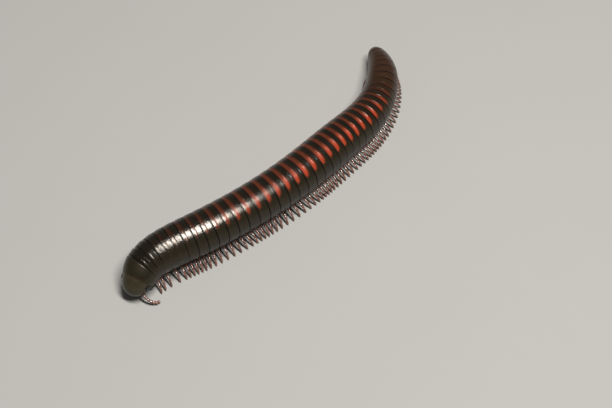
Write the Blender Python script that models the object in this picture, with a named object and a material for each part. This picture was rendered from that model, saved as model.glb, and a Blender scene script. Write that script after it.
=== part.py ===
"""Round-backed millipede, a still life-size model standing on its feet.

The head is towards -Y, the tail towards +Y and the back towards +Z, and the
animal's left side is towards +X. The floor is the plane Z = 0, and the origin
is the middle of the model's footprint on it.
"""

import math

import bmesh
import bpy
import numpy as np
from mathutils import Vector

MM = 0.001

# Driving dimensions: the body
BODY_DIAMETER = 10.4 * MM
BELLY_CLEARANCE = 1.8 * MM
BELLY_FLAT = 0.88
HEAD_LENGTH = 4.45 * MM
RING_COUNT = 39
TELSON_LENGTH = 2.1 * MM
TELSON_END_GIRTH = 0.36
GAP = 0.3 * MM

# Length of a ring in millimetres, by ring number; ring 1 is the collum
RING_LENGTH = (
    (1, 2.25), (2, 1.65), (3, 1.85), (4, 1.93), (6, 2.60), (8, 2.42), (10, 2.65), (12, 2.76),
    (19, 2.64), (25, 2.25), (33, 2.20), (36, 1.99), (39, 1.50),
)

# Width of a ring as a share of the body's diameter, by ring number
RING_GIRTH = (
    (1, 0.85), (3, 0.905), (5, 0.955), (7, 0.985), (13, 0.99),
    (18, 1.0), (23, 0.995), (28, 0.925), (33, 0.80), (36, 0.70), (38, 0.575), (39, 0.51),
)

# Heading of the body from +Y towards +X in degrees, by millimetres from the head
HEADING = (
    (0, -26.0), (5, -8.0), (10, 9.5), (15, 19.0), (26, 16.9), (38, 13.1), (50, 7.1),
    (60, 3.1), (70, 1.5), (77, -12.0), (84, -29.0), (96, -60.0),
)
PATH_START = (-4.790 * MM, -44.916 * MM)
PATH_STEP = 0.1 * MM

# The front of the body bends down to the head
DROOP_ANGLE = math.radians(42.0)
DROOP_LENGTH = 13.0 * MM

# Relief of one ring: place along the ring, and share of the full radius
RING_RELIEF = ((0.0, 0.978), (0.43, 0.987), (0.93, 1.0))
RING_REAR = 0.992
RING_SIDES = 20

# Trunk lengths, as the first and last ring of each
TRUNK_SPANS = ((2, 5), (6, 10), (11, 15), (16, 20), (21, 25), (26, 30), (31, 35), (36, 39))

# Legs: one pair on the first leg rings, then two pairs a ring
FIRST_LEG_RING = 2
FIRST_DOUBLE_RING = 6
LAST_LEG_RING = 37
LEG_SIDES = 5
LEG_ROOT_RADIUS = 0.36 * MM
LEG_FOOT_RADIUS = 0.25 * MM
LEG_REACH = 6.2 * MM
LEG_REACH_LEAST = 1.55 * MM
LEG_ROOT_DEPTH = 0.75 * MM
LEG_KNEE_HEIGHT = 0.92
LEG_SHIN_HEIGHT = 0.51
LEG_SLIMMING = 0.4
WAVE_LENGTH = 18.0 * MM
WAVE_SWING = 0.95 * MM
WAVE_PHASE = {1: 2.95, -1: 3.30}
FRONT_LEAN = 1.5 * MM
FRONT_LEAN_LENGTH = 14.0 * MM

# Collum, the collar plate: how far down it reaches, and its place and height rows
COLLUM_BELLY = 0.42
COLLUM_ROWS = ((0.0, 0.885), (0.12, 0.92), (0.5, 0.965), (1.0, 0.99))

# Head, as half widths and lengths from the plane where it meets the collum
HEAD_HALF_WIDTH = 3.65 * MM
HEAD_HALF_HEIGHT = 3.9 * MM
HEAD_DEPTH = 4.85 * MM
HEAD_ASIDE = 0.35 * MM
CHIN_NARROWING = 0.26
MOUTH_LEVEL = 3.2 * MM
MOUTH_TOP = 1.3 * MM
MOUTH_SLANT = math.radians(37.0)
LABRUM_NOTCH_WIDTH = 1.1 * MM
LABRUM_NOTCH_DEPTH = 0.5 * MM
LABRUM_START = 0.3 * MM

# Mouthparts, placed on the slanted mouth plane
MANDIBLE_RADII = (1.0 * MM, 1.5 * MM, 0.9 * MM)
MANDIBLE_ASIDE = 2.3 * MM
MANDIBLE_DOWN = 1.75 * MM
LIP_PLATES = ((0.0, 0.50), (0.5, 0.42), (-0.5, 0.42))
LIP_PLATE_WIDTH = 0.5 * MM
LIP_PLATE_LENGTH = 1.4 * MM
LIP_DOWN = 1.5 * MM

# Eyes and feelers, placed on the head by their turn to the side and their tilt up
EYE_TURN = math.radians(72.0)
EYE_TILT = math.radians(9.0)
EYE_SIZE = (0.42 * MM, 0.64 * MM, 0.78 * MM)
EYE_POCKET = 0.2 * MM
SOCKET_TURN = math.radians(46.0)
SOCKET_TILT = math.radians(-8.0)
SOCKET_RADIUS = 0.62 * MM
SOCKET_DEPTH = 0.32 * MM
ANTENNA_RADIUS = 0.40 * MM
ANTENNA_SIDES = 7
ANTENNA_ARTICLES = 7
ANTENNA_SWELL = (0.72, 0.92, 1.0)
ANTENNA_GROWTH = (0.85, 1.10)
ANTENNA_TIP = 0.6
ANTENNA_BEND = 0.9
ANTENNA_RISE = {1: 1.3 * MM, -1: 0.7 * MM}
ANTENNA_GROUND = 1.3
ANTENNA_SPREAD = {1: 3.4 * MM, -1: 0.3 * MM}
ANTENNA_BACK = {1: 1.4 * MM, -1: 2.4 * MM}

# Telson: place and height rows, where its slanting rear is cut, and the valves under it
TELSON_ROWS = ((0.35, 1.0), (0.7, 0.97), (1.0, 0.90))
TELSON_CUT = 0.62
TELSON_SLANT = math.radians(30.0)
VALVE_RADII = (1.5 * MM, 1.6 * MM, 1.1 * MM)


def smooth_value(knots, x):
    """Read a smooth curve through a few (place, value) knots."""
    places = np.array([knot[0] for knot in knots], dtype=float)
    values = np.array([knot[1] for knot in knots], dtype=float)
    slopes = np.gradient(values, places)
    x = np.clip(np.asarray(x, dtype=float), places[0], places[-1])
    i = np.clip(np.searchsorted(places, x) - 1, 0, len(places) - 2)
    span = places[i + 1] - places[i]
    t = (x - places[i]) / span
    start = (2 * t**3 - 3 * t**2 + 1) * values[i] + (t**3 - 2 * t**2 + t) * span * slopes[i]
    end = (3 * t**2 - 2 * t**3) * values[i + 1] + (t**3 - t**2) * span * slopes[i + 1]
    return start + end


def ring_starts():
    """Distance from the head's front to the front of each ring, and to the telson."""
    starts = {1: HEAD_LENGTH}
    for ring in range(1, RING_COUNT + 1):
        starts[ring + 1] = starts[ring] + float(smooth_value(RING_LENGTH, ring)) * MM
    return starts


RING_START = ring_starts()
BODY_LENGTH = RING_START[RING_COUNT + 1] + TELSON_LENGTH


def body_radius(place):
    """Radius of the body at a distance from the head's front."""
    middles = [(RING_START[ring] + RING_START[ring + 1]) / 2 for ring in range(1, RING_COUNT + 1)]
    girths = [float(smooth_value(RING_GIRTH, ring)) for ring in range(1, RING_COUNT + 1)]
    middles.append(BODY_LENGTH)
    girths.append(TELSON_END_GIRTH)
    return np.interp(place, middles, girths) * BODY_DIAMETER / 2


def body_path():
    """Places along the body and the axis points there, worked out step by step."""
    count = int(BODY_LENGTH / PATH_STEP) + 1
    places = np.linspace(0.0, BODY_LENGTH, count)
    step = places[1] - places[0]
    middle = (places[1:] + places[:-1]) / 2
    heading = np.radians(smooth_value(HEADING, middle / MM))
    bend = np.clip(middle / DROOP_LENGTH, 0.0, 1.0)
    pitch = DROOP_ANGLE * (0.5 + 0.5 * np.cos(math.pi * bend))
    level = np.cos(pitch) * step
    x = PATH_START[0] + np.concatenate(([0.0], np.cumsum(np.sin(heading) * level)))
    y = PATH_START[1] + np.concatenate(([0.0], np.cumsum(np.cos(heading) * level)))
    rise = np.concatenate(([0.0], np.cumsum(np.sin(pitch) * step)))
    carried = body_radius(np.maximum(places, DROOP_LENGTH))
    z = BELLY_CLEARANCE + carried - (rise[-1] - rise)
    return places, np.stack((x, y, z), axis=1)


PATH_PLACES, PATH_POINTS = body_path()


def axis_point(place):
    """Point of the body's axis at a distance from the head's front."""
    return Vector([float(np.interp(place, PATH_PLACES, PATH_POINTS[:, k])) for k in range(3)])


def body_frame(place):
    """Axis point, then the directions to the left, up and towards the tail."""
    tail = (axis_point(place + 0.4 * MM) - axis_point(place - 0.4 * MM)).normalized()
    left = tail.cross(Vector((0.0, 0.0, 1.0))).normalized()
    return axis_point(place), left, left.cross(tail), tail


def body_section(place, share, belly=BELLY_FLAT):
    """Points round the body at one place, with the belly flattened."""
    centre, left, up, _ = body_frame(place)
    radius = float(body_radius(place)) * share
    points = []
    for k in range(RING_SIDES):
        angle = 2 * math.pi * k / RING_SIDES
        height = max(math.cos(angle), -belly)
        points.append(centre + radius * (math.sin(angle) * left + height * up))
    return points


def face_outwards(mesh):
    """Make the faces of a closed surface agree and point out."""
    bmesh.ops.recalc_face_normals(mesh, faces=mesh.faces)
    if mesh.calc_volume(signed=True) < 0.0:
        bmesh.ops.reverse_faces(mesh, faces=mesh.faces)


def loft(sections):
    """Closed surface through a row of sections with like numbers of points."""
    mesh = bmesh.new()
    rows = [[mesh.verts.new(point) for point in section] for section in sections]
    for row, following in zip(rows, rows[1:]):
        for k in range(len(row)):
            j = (k + 1) % len(row)
            mesh.faces.new((row[k], row[j], following[j], following[k]))
    mesh.faces.new(rows[0])
    mesh.faces.new(rows[-1])
    face_outwards(mesh)
    return mesh


def ellipsoid(centre, axes, radii, segments=16, rings=10):
    """Egg form with its radii along three directions."""
    mesh = bmesh.new()
    bmesh.ops.create_uvsphere(mesh, u_segments=segments, v_segments=rings, radius=1.0)
    for vert in mesh.verts:
        offset = Vector((0.0, 0.0, 0.0))
        for axis, radius, share in zip(axes, radii, vert.co):
            offset += axis * radius * share
        vert.co = centre + offset
    face_outwards(mesh)
    return mesh


def trim(mesh, point, normal):
    """Cut away what lies beyond a plane, and close the cut."""
    geometry = mesh.verts[:] + mesh.edges[:] + mesh.faces[:]
    cut = bmesh.ops.bisect_plane(
        mesh, geom=geometry, plane_co=point, plane_no=normal, clear_outer=True, dist=1e-7
    )
    edges = [item for item in cut["geom_cut"] if isinstance(item, bmesh.types.BMEdge)]
    bmesh.ops.edgeloop_fill(mesh, edges=edges)
    face_outwards(mesh)
    return mesh


def make_material(name, colour, roughness):
    """Plain finish for one sub-part."""
    material = bpy.data.materials.new(name)
    material.use_nodes = True
    shader = material.node_tree.nodes["Principled BSDF"]
    shader.inputs["Base Color"].default_value = (*colour, 1.0)
    shader.inputs["Roughness"].default_value = roughness
    shader.inputs["Metallic"].default_value = 0.0
    material.diffuse_color = (*colour, 1.0)
    return material


def add_object(name, mesh, collection, material=None):
    """Turn an edit mesh into an object of a collection."""
    data = bpy.data.meshes.new(name)
    mesh.to_mesh(data)
    mesh.free()
    thing = bpy.data.objects.new(name, data)
    collection.objects.link(thing)
    if material:
        data.materials.append(material)
    return thing


def apply_modifiers(thing):
    """Replace an object's mesh with its evaluated one."""
    evaluated = thing.evaluated_get(bpy.context.evaluated_depsgraph_get())
    data = bpy.data.meshes.new_from_object(evaluated)
    thing.modifiers.clear()
    thing.data = data


def keep_largest_body(thing):
    """Drop the loose scraps that a union can leave."""
    mesh = bmesh.new()
    mesh.from_mesh(thing.data)
    left = set(mesh.verts)
    bodies = []
    while left:
        stack = [left.pop()]
        body = set(stack)
        while stack:
            for edge in stack.pop().link_edges:
                for vert in edge.verts:
                    if vert not in body:
                        body.add(vert)
                        stack.append(vert)
        left -= body
        bodies.append(body)
    bodies.sort(key=len)
    scraps = [vert for body in bodies[:-1] for vert in body]
    bmesh.ops.delete(mesh, geom=scraps, context="VERTS")
    mesh.to_mesh(thing.data)
    mesh.free()


def boolean(thing, pieces, operation, helpers):
    """Join closed meshes to an object, or cut them from it, in one step."""
    group = bpy.data.collections.new(f"{thing.name}_pieces")
    helpers.children.link(group)
    for number, piece in enumerate(pieces):
        tool = add_object(f"{thing.name}_piece_{number}", piece, group)
        tool.hide_render = True
        tool.display_type = "WIRE"
    modifier = thing.modifiers.new("Join", "BOOLEAN")
    modifier.operation = operation
    modifier.operand_type = "COLLECTION"
    modifier.collection = group
    modifier.solver = "EXACT"
    apply_modifiers(thing)
    for tool in list(group.objects):
        bpy.data.objects.remove(tool)
    bpy.data.collections.remove(group)
    keep_largest_body(thing)


def leg_places():
    """Distance along the body of every pair of legs, by ring."""
    places = []
    for ring in range(FIRST_LEG_RING, LAST_LEG_RING + 1):
        length = RING_START[ring + 1] - RING_START[ring]
        shares = (0.5,) if ring < FIRST_DOUBLE_RING else (0.25, 0.75)
        for share in shares:
            places.append((ring, RING_START[ring] + share * length))
    return places


def leg(place, side):
    """One leg: out from the belly, over a low knee and down to a small flat foot."""
    centre, left, up, tail = body_frame(place)
    size = float(body_radius(place)) / (BODY_DIAMETER / 2)
    out = Vector((left.x, left.y, 0.0)).normalized() * side
    along = Vector((tail.x, tail.y, 0.0)).normalized()
    belly = centre - up * (float(body_radius(place)) * BELLY_FLAT)
    wave = math.sin(2 * math.pi * place / WAVE_LENGTH + WAVE_PHASE[side])
    lean = max(1.0 - (place - RING_START[FIRST_LEG_RING]) / FRONT_LEAN_LENGTH, 0.0)
    swing = along * (WAVE_SWING * size * wave - FRONT_LEAN * lean)
    reach = out * (LEG_REACH_LEAST + (LEG_REACH - LEG_REACH_LEAST) * size)
    stations = (
        (0.20, belly.z + LEG_ROOT_DEPTH, 0.0, 1.0),
        (0.66, belly.z * LEG_KNEE_HEIGHT, 0.5, 0.95),
        (0.90, belly.z * LEG_SHIN_HEIGHT, 0.85, 0.75),
        (1.0, 0.0, 1.0, 0.0),
    )
    points = []
    for share, height, part, _ in stations:
        point = belly + reach * share + swing * part
        point.z = height
        points.append(point)
    sections = []
    for number, point in enumerate(points):
        thick = LEG_FOOT_RADIUS + (LEG_ROOT_RADIUS - LEG_FOOT_RADIUS) * stations[number][3]
        thick *= 1.0 - LEG_SLIMMING * (1.0 - size)
        before = points[max(number - 1, 0)]
        after = points[min(number + 1, len(points) - 1)]
        run = (after - before).normalized()
        if number == len(points) - 1:
            run = Vector((0.0, 0.0, -1.0))
        across = run.cross(along).normalized()
        width = across.cross(run).normalized()
        section = []
        for k in range(LEG_SIDES):
            angle = 2 * math.pi * (k + 0.25) / LEG_SIDES
            section.append(point + thick * (math.cos(angle) * across + math.sin(angle) * width))
        sections.append(section)
    return loft(sections)


def trunk_length(first, last, material, collection, helpers):
    """A length of trunk: its rings in relief, with their legs fused on."""
    sections = []
    for ring in range(first, last + 1):
        length = RING_START[ring + 1] - RING_START[ring]
        for share, height in RING_RELIEF:
            place = RING_START[ring] + share * length
            if ring == first and share == 0.0:
                place += GAP / 2
            sections.append(body_section(place, height))
    sections.append(body_section(RING_START[last + 1] - GAP / 2, RING_REAR))
    thing = add_object(f"trunk_rings_{first:02d}_{last:02d}", loft(sections), collection, material)
    legs = [
        leg(place, side)
        for ring, place in leg_places() if first <= ring <= last
        for side in (1, -1)
    ]
    if legs:
        boolean(thing, legs, "UNION", helpers)
    return thing


def collum(material, collection):
    """The collar behind the head: a saddle over the neck, open below."""
    front = RING_START[1] + GAP / 2
    rear = RING_START[2] - GAP / 2
    sections = []
    for share, height in COLLUM_ROWS:
        centre, left, up, _ = body_frame(front + share * (rear - front))
        radius = float(body_radius(RING_START[1])) * height
        section = []
        for k in range(RING_SIDES):
            angle = 2 * math.pi * k / RING_SIDES
            level = max(math.cos(angle), -COLLUM_BELLY)
            section.append(centre + radius * (math.sin(angle) * left + level * up))
        sections.append(section)
    return add_object("collum", loft(sections), collection, material)


def head_frame():
    """Middle of the head's back plane, with the ways left, up and forward."""
    centre, left, up, tail = body_frame(RING_START[1] - GAP / 2)
    return centre + left * HEAD_ASIDE, left, up, -tail


def head_point(side, height, forward):
    """A point given in the head's own directions."""
    centre, left, up, ahead = head_frame()
    return centre + left * side + up * height + ahead * forward


def head_surface(turn, tilt):
    """Point and outward direction on the head, by its turn to the left and its tilt up."""
    _, left, up, ahead = head_frame()
    way = Vector((
        math.sin(turn) * math.cos(tilt), math.sin(tilt), math.cos(turn) * math.cos(tilt)
    ))
    radii = (HEAD_HALF_WIDTH, HEAD_HALF_HEIGHT, HEAD_DEPTH)
    point = head_point(way.x * radii[0], way.y * radii[1], way.z * radii[2])
    normal = (left * way.x / radii[0] + up * way.y / radii[1] + ahead * way.z / radii[2]).normalized()
    return point, normal


def eye_form(side, margin):
    """The low oval field of one eye, grown by a margin for its pocket."""
    point, normal = head_surface(EYE_TURN * side, EYE_TILT)
    _, _, up, _ = head_frame()
    across = normal.cross(up).normalized()
    tall = across.cross(normal)
    radii = [size + margin for size in EYE_SIZE]
    return ellipsoid(point, (normal, across, tall), radii, segments=12, rings=8)


def socket_form(side):
    """The round pit in which an antenna stands."""
    point, normal = head_surface(SOCKET_TURN * side, SOCKET_TILT)
    side_way = normal.orthogonal().normalized()
    other_way = normal.cross(side_way)
    sections = []
    for height in (-SOCKET_DEPTH, 1.0 * MM):
        section = []
        for k in range(10):
            angle = 2 * math.pi * k / 10
            spoke = math.cos(angle) * side_way + math.sin(angle) * other_way
            section.append(point + normal * height + spoke * SOCKET_RADIUS)
        sections.append(section)
    return loft(sections)


def labrum_notch():
    """Wedge that leaves the small notch in the middle of the upper lip."""
    half = LABRUM_NOTCH_WIDTH / 2
    sections = []
    for forward in (LABRUM_START, HEAD_DEPTH):
        sections.append([
            head_point(-half, -HEAD_HALF_HEIGHT, forward),
            head_point(half, -HEAD_HALF_HEIGHT, forward),
            head_point(0.0, -MOUTH_LEVEL + LABRUM_NOTCH_DEPTH, forward),
        ])
    return loft(sections)


def head(material, collection, helpers):
    """The head capsule: a domed face, flat behind and below, with pits for eyes and antennae."""
    centre, left, up, ahead = head_frame()
    mesh = ellipsoid(
        centre, (left, up, ahead), (HEAD_HALF_WIDTH, HEAD_HALF_HEIGHT, HEAD_DEPTH), segments=20, rings=14
    )
    for vert in mesh.verts:
        local = vert.co - centre
        low = max(-local.dot(up) / HEAD_HALF_HEIGHT, 0.0)
        vert.co -= left * local.dot(left) * CHIN_NARROWING * low**2
    trim(mesh, centre, -ahead)
    mouth_top, _, mouth_out = mouth_frame()
    trim(mesh, mouth_top, mouth_out)
    trim(mesh, head_point(0.0, -MOUTH_LEVEL, 0.0), -up)
    thing = add_object("head", mesh, collection, material)
    cutters = [eye_form(side, EYE_POCKET) for side in (1, -1)]
    cutters += [socket_form(side) for side in (1, -1)]
    cutters.append(labrum_notch())
    boolean(thing, cutters, "DIFFERENCE", helpers)
    return thing


def eyes(material, collection):
    """Both eye fields, low domes in their pockets."""
    for name, side in (("eye_left", 1), ("eye_right", -1)):
        add_object(name, eye_form(side, 0.0), collection, material)


def antenna(name, side, material, collection):
    """One antenna: club-shaped articles on a path that bends out, back and down."""
    root, normal = head_surface(SOCKET_TURN * side, SOCKET_TILT)
    _, left, _, tail = body_frame(RING_START[1])
    out = Vector((left.x, left.y, 0.0)).normalized() * side
    back = Vector((tail.x, tail.y, 0.0)).normalized()
    start = root - normal * (SOCKET_DEPTH - GAP)
    ground = ANTENNA_RADIUS * ANTENNA_GROUND
    tip = root + out * ANTENNA_SPREAD[side] + back * ANTENNA_BACK[side]
    tip.z = ground
    bend = root + out * ANTENNA_SPREAD[side] * ANTENNA_BEND
    bend.z = ground
    knots = [start, root + normal * ANTENNA_RISE[side], bend, tip]
    count = ANTENNA_ARTICLES * len(ANTENNA_SWELL)
    steps = [number / count for number in range(count + 1)]
    sections = []
    previous = None
    for number, step in enumerate(steps):
        point = bezier(knots, step)
        run = (bezier(knots, step + 0.01) - bezier(knots, step - 0.01)).normalized()
        width = (previous or Vector((0.0, 0.0, 1.0))).copy()
        width = (width - run * width.dot(run)).normalized()
        previous = width
        across = run.cross(width)
        swell = ANTENNA_SWELL[number % len(ANTENNA_SWELL)]
        radius = ANTENNA_RADIUS * swell * float(np.interp(step, (0.0, 1.0), ANTENNA_GROWTH))
        if number == len(steps) - 1:
            radius = ANTENNA_RADIUS * ANTENNA_TIP
        section = []
        for k in range(ANTENNA_SIDES):
            angle = 2 * math.pi * k / ANTENNA_SIDES
            section.append(point + radius * (math.cos(angle) * width + math.sin(angle) * across))
        sections.append(section)
    add_object(name, loft(sections), collection, material)


def bezier(knots, t):
    """Point on a cubic curve through its end knots."""
    s = 1.0 - t
    return knots[0] * s**3 + knots[1] * 3 * s**2 * t + knots[2] * 3 * s * t**2 + knots[3] * t**3


def mouth_frame():
    """Top of the slanted mouth plane, the way down along it and the way out of it."""
    _, _, up, ahead = head_frame()
    along = ahead * math.sin(MOUTH_SLANT) - up * math.cos(MOUTH_SLANT)
    out = -ahead * math.cos(MOUTH_SLANT) - up * math.sin(MOUTH_SLANT)
    return head_point(0.0, -MOUTH_TOP, 0.0), along, out


def mandibles(material, collection):
    """The rounded bases of the jaws, behind the cheeks."""
    _, left, _, _ = head_frame()
    top, along, out = mouth_frame()
    for name, side in (("mandible_left", 1), ("mandible_right", -1)):
        middle = top + left * side * MANDIBLE_ASIDE + along * MANDIBLE_DOWN + out * (GAP + MANDIBLE_RADII[2])
        add_object(name, ellipsoid(middle, (left, along, out), MANDIBLE_RADII, 12, 8), collection, material)


def gnathochilarium(material, collection, helpers):
    """The lower lip: two side plates with a middle plate between them."""
    _, left, _, _ = head_frame()
    top, along, out = mouth_frame()
    forms = []
    for side, height in LIP_PLATES:
        middle = top + left * side * MM + along * LIP_DOWN + out * (GAP + LIP_PLATES[0][1] * MM)
        radii = (LIP_PLATE_WIDTH, LIP_PLATE_LENGTH, height * MM)
        forms.append(ellipsoid(middle, (left, along, out), radii, 10, 8))
    thing = add_object("gnathochilarium", forms[0], collection, material)
    boolean(thing, forms[1:], "UNION", helpers)


def telson(materials, collection):
    """The last ring with its dorsal hood, and the two anal valves under it."""
    start = RING_START[RING_COUNT + 1]
    sections = [body_section(start + GAP / 2, RING_RELIEF[0][1])]
    for share, height in TELSON_ROWS:
        sections.append(body_section(start + share * TELSON_LENGTH, height))
    mesh = loft(sections)
    _, left, up, tail = body_frame(start)
    end = axis_point(start + TELSON_CUT * TELSON_LENGTH)
    slant = tail * math.cos(TELSON_SLANT) - up * math.sin(TELSON_SLANT)
    trim(mesh, end, slant)
    add_object("preanal_ring", mesh, collection, materials["ring"])
    face_up = left.cross(slant).normalized()
    if face_up.z < 0:
        face_up = -face_up
    middle = end + slant * GAP
    for name, side in (("anal_valve_left", 1), ("anal_valve_right", -1)):
        form = ellipsoid(middle, (left, face_up, slant), VALVE_RADII, 16, 12)
        trim(form, middle, -slant)
        trim(form, middle + left * side * GAP / 2, -left * side)
        add_object(name, form, collection, materials["valve"])


def main():
    for thing in list(bpy.data.objects):
        bpy.data.objects.remove(thing)
    collection = bpy.data.collections.new("millipede")
    helpers = bpy.data.collections.new("cutters")
    bpy.context.scene.collection.children.link(collection)
    bpy.context.scene.collection.children.link(helpers)
    head_material = make_material("head capsule, olive brown", (0.030, 0.024, 0.013), 0.25)
    collum_material = make_material("collum, olive brown", (0.022, 0.018, 0.011), 0.22)
    eye_material = make_material("eye field, black", (0.004, 0.004, 0.004), 0.15)
    antenna_material = make_material("antenna, red brown", (0.070, 0.022, 0.012), 0.30)
    jaw_material = make_material("jaw base, dark brown", (0.028, 0.016, 0.010), 0.30)
    lip_material = make_material("lower lip, red brown", (0.050, 0.020, 0.012), 0.35)
    valve_material = make_material("anal valve, dark red", (0.055, 0.014, 0.008), 0.30)
    telson_material = make_material("telson, dark red brown", (0.045, 0.014, 0.009), 0.28)
    head(head_material, collection, helpers)
    eyes(eye_material, collection)
    antenna("antenna_left", 1, antenna_material, collection)
    antenna("antenna_right", -1, antenna_material, collection)
    mandibles(jaw_material, collection)
    gnathochilarium(lip_material, collection, helpers)
    collum(collum_material, collection)
    for first, last in TRUNK_SPANS:
        material = make_material(f"rings {first} to {last}, black with red", (0.030, 0.012, 0.008), 0.25)
        trunk_length(first, last, material, collection, helpers)
    telson({"ring": telson_material, "valve": valve_material}, collection)
    bpy.data.collections.remove(helpers)
    for thing in collection.objects:
        thing.data.shade_smooth()
        thing.data.set_sharp_from_angle(angle=math.radians(35.0))


main()
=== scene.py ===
"""The finished surface of a round-backed millipede, a still life-size model.

Each ring of the body is its own hard plate, as in the animal, and slides under the one before it.
The head is towards -Y, the tail towards +Y and the back towards +Z, and the animal's left is +X.
"""

import math
from functools import partial

import bmesh
import bpy
import numpy as np
from mathutils import Matrix, Vector


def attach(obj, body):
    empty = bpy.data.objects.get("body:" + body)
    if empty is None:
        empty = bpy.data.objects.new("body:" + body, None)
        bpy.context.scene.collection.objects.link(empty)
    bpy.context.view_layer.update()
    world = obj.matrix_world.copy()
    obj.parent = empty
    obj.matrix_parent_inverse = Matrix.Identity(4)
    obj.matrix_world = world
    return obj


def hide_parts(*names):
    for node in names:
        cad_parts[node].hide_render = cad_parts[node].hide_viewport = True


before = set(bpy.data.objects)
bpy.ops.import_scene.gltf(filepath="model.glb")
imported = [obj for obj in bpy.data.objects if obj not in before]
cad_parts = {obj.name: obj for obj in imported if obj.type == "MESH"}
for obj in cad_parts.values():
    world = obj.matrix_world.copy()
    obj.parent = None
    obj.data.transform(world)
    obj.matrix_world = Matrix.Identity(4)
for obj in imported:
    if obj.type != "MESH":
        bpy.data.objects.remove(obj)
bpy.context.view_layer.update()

bl_info = {
    "name": "Millipede model",
    "version": (1, 0, 0),
    "blender": (4, 5, 0),
    "location": "3D View > Sidebar > Millipede",
    "description": "Builds the plates, legs, head and finish of a life-size millipede on its solids",
    "category": "Object",
}

MM = 0.001

# Sizes that the solids are made from
BODY_DIAMETER = 10.4 * MM
BELLY_CLEARANCE = 1.8 * MM
BELLY_FLAT = 0.88
HEAD_LENGTH = 4.45 * MM
RING_COUNT = 39
TELSON_LENGTH = 2.1 * MM
TELSON_END_GIRTH = 0.36
GAP = 0.3 * MM
TRUNK_SPANS = ((2, 5), (6, 10), (11, 15), (16, 20), (21, 25), (26, 30), (31, 35), (36, 39))

# Length of a ring in millimetres, by ring number; ring 1 is the collum
RING_LENGTH = (
    (1, 2.25), (2, 1.65), (3, 1.85), (4, 1.93), (6, 2.60), (8, 2.42), (10, 2.65), (12, 2.76),
    (19, 2.64), (25, 2.25), (33, 2.20), (36, 1.99), (39, 1.50),
)

# Width of a ring as a share of the body's diameter, by ring number
RING_GIRTH = (
    (1, 0.85), (3, 0.905), (5, 0.955), (7, 0.985), (13, 0.99),
    (18, 1.0), (23, 0.995), (28, 0.925), (33, 0.80), (36, 0.70), (38, 0.575), (39, 0.51),
)

# Heading of the body from +Y towards +X in degrees, by millimetres from the head
HEADING = (
    (0, -26.0), (5, -8.0), (10, 9.5), (15, 19.0), (26, 16.9), (38, 13.1), (50, 7.1),
    (60, 3.1), (70, 1.5), (77, -12.0), (84, -29.0), (96, -60.0),
)
PATH_START = (-4.790 * MM, -44.916 * MM)
PATH_STEP = 0.1 * MM
AXIS_REACH = 0.4 * MM
DROOP_ANGLE = math.radians(42.0)
DROOP_LENGTH = 13.0 * MM

# Legs
FIRST_LEG_RING = 2
FIRST_DOUBLE_RING = 6
LAST_LEG_RING = 37
LEG_REACH = 6.2 * MM
LEG_REACH_LEAST = 1.55 * MM
LEG_SLIMMING = 0.4
WAVE_LENGTH = 18.0 * MM
WAVE_SWING = 0.95 * MM
WAVE_PHASE = {1: 2.95, -1: 3.30}
FRONT_LEAN = 1.5 * MM
FRONT_LEAN_LENGTH = 14.0 * MM

# Head, from the plane where it meets the collum
HEAD_RADII = (3.65 * MM, 3.9 * MM, 4.85 * MM)
HEAD_ASIDE = 0.35 * MM
CHIN_NARROWING = 0.26
MOUTH_LEVEL = 3.2 * MM
MOUTH_TOP = 1.3 * MM
MOUTH_SLANT = math.radians(37.0)
EYE_TURN = math.radians(72.0)
EYE_TILT = math.radians(9.0)
EYE_SIZE = (0.42 * MM, 0.64 * MM, 0.78 * MM)
SOCKET_TURN = math.radians(46.0)
SOCKET_TILT = math.radians(-8.0)
SOCKET_RADIUS = 0.62 * MM
SOCKET_DEPTH = 0.32 * MM
ANTENNA_RADIUS = 0.40 * MM
ANTENNA_RISE = {1: 1.3 * MM, -1: 0.7 * MM}
ANTENNA_SPREAD = {1: 3.4 * MM, -1: 0.3 * MM}
ANTENNA_BACK = {1: 1.4 * MM, -1: 2.4 * MM}
MANDIBLE_RADII = (1.0 * MM, 1.5 * MM, 0.9 * MM)
MANDIBLE_ASIDE = 2.3 * MM
MANDIBLE_DOWN = 1.75 * MM

# Strength of the red band on a ring, by ring number
BAND_STRENGTH = (
    (2, 0.0), (4, 0.04), (5, 0.15), (6, 0.3), (8, 0.42), (10, 0.62), (12, 0.85), (14, 1.0), (30, 1.0),
    (31, 0.78), (32, 0.45), (33, 0.27), (35, 0.12), (39, 0.06),
)

# How far down the flank a band comes, in degrees from the middle of its pattern
BAND_REACH = ((2, 49.0), (6, 55.0), (9, 61.0), (13, 67.0), (20, 68.0), (33, 69.0), (39, 61.0))

# How much the bands differ from ring to ring: share of their strength, and degrees of their reach
BAND_VARIETY = (0.10, 3.0)

# The middle of the pattern lies a little to the right of the middle of the back, in degrees. This is painted
# shade: it keeps the bands dull further down the right side and shifts the flank colours, as if that side lay
# in shade
PAINTED_SHADE_TURN = 20.0

# How far the black of a ring turns to the dull red brown of the tail, by ring number
TAIL_RUST = ((2, 0.0), (26, 0.0), (31, 0.28), (34, 0.8), (39, 1.0))

# Relief of one ring: place along the part of it that shows, and share of its full radius
RING_PROFILE = (
    (-0.46, 0.905), (-0.38, 0.932), (-0.20, 0.962), (0.00, 0.9812), (0.04, 0.9823), (0.08, 0.9833),
    (0.22, 0.9860), (0.33, 0.9875), (0.40, 0.9882), (0.420, 0.9850), (0.440, 0.9884), (0.458, 0.9935),
    (0.475, 0.9950), (0.495, 0.99545), (0.62, 0.9967), (0.70, 0.9975), (0.79, 0.9984), (0.87, 0.9991),
    (0.925, 0.9998), (0.950, 1.0000), (0.972, 0.9988), (0.990, 0.9935), (1.00, 0.984), (0.992, 0.972),
    (0.95, 0.960), (0.60, 0.948), (0.10, 0.925), (-0.38, 0.895),
)
OUTER_ROWS = 22

# Where the flank ridges fade in and out, from 0 at the middle of the back to 1 at the belly
RIDGES_START = (0.36, 0.46)
RIDGES_END = (0.80, 0.72)

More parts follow.
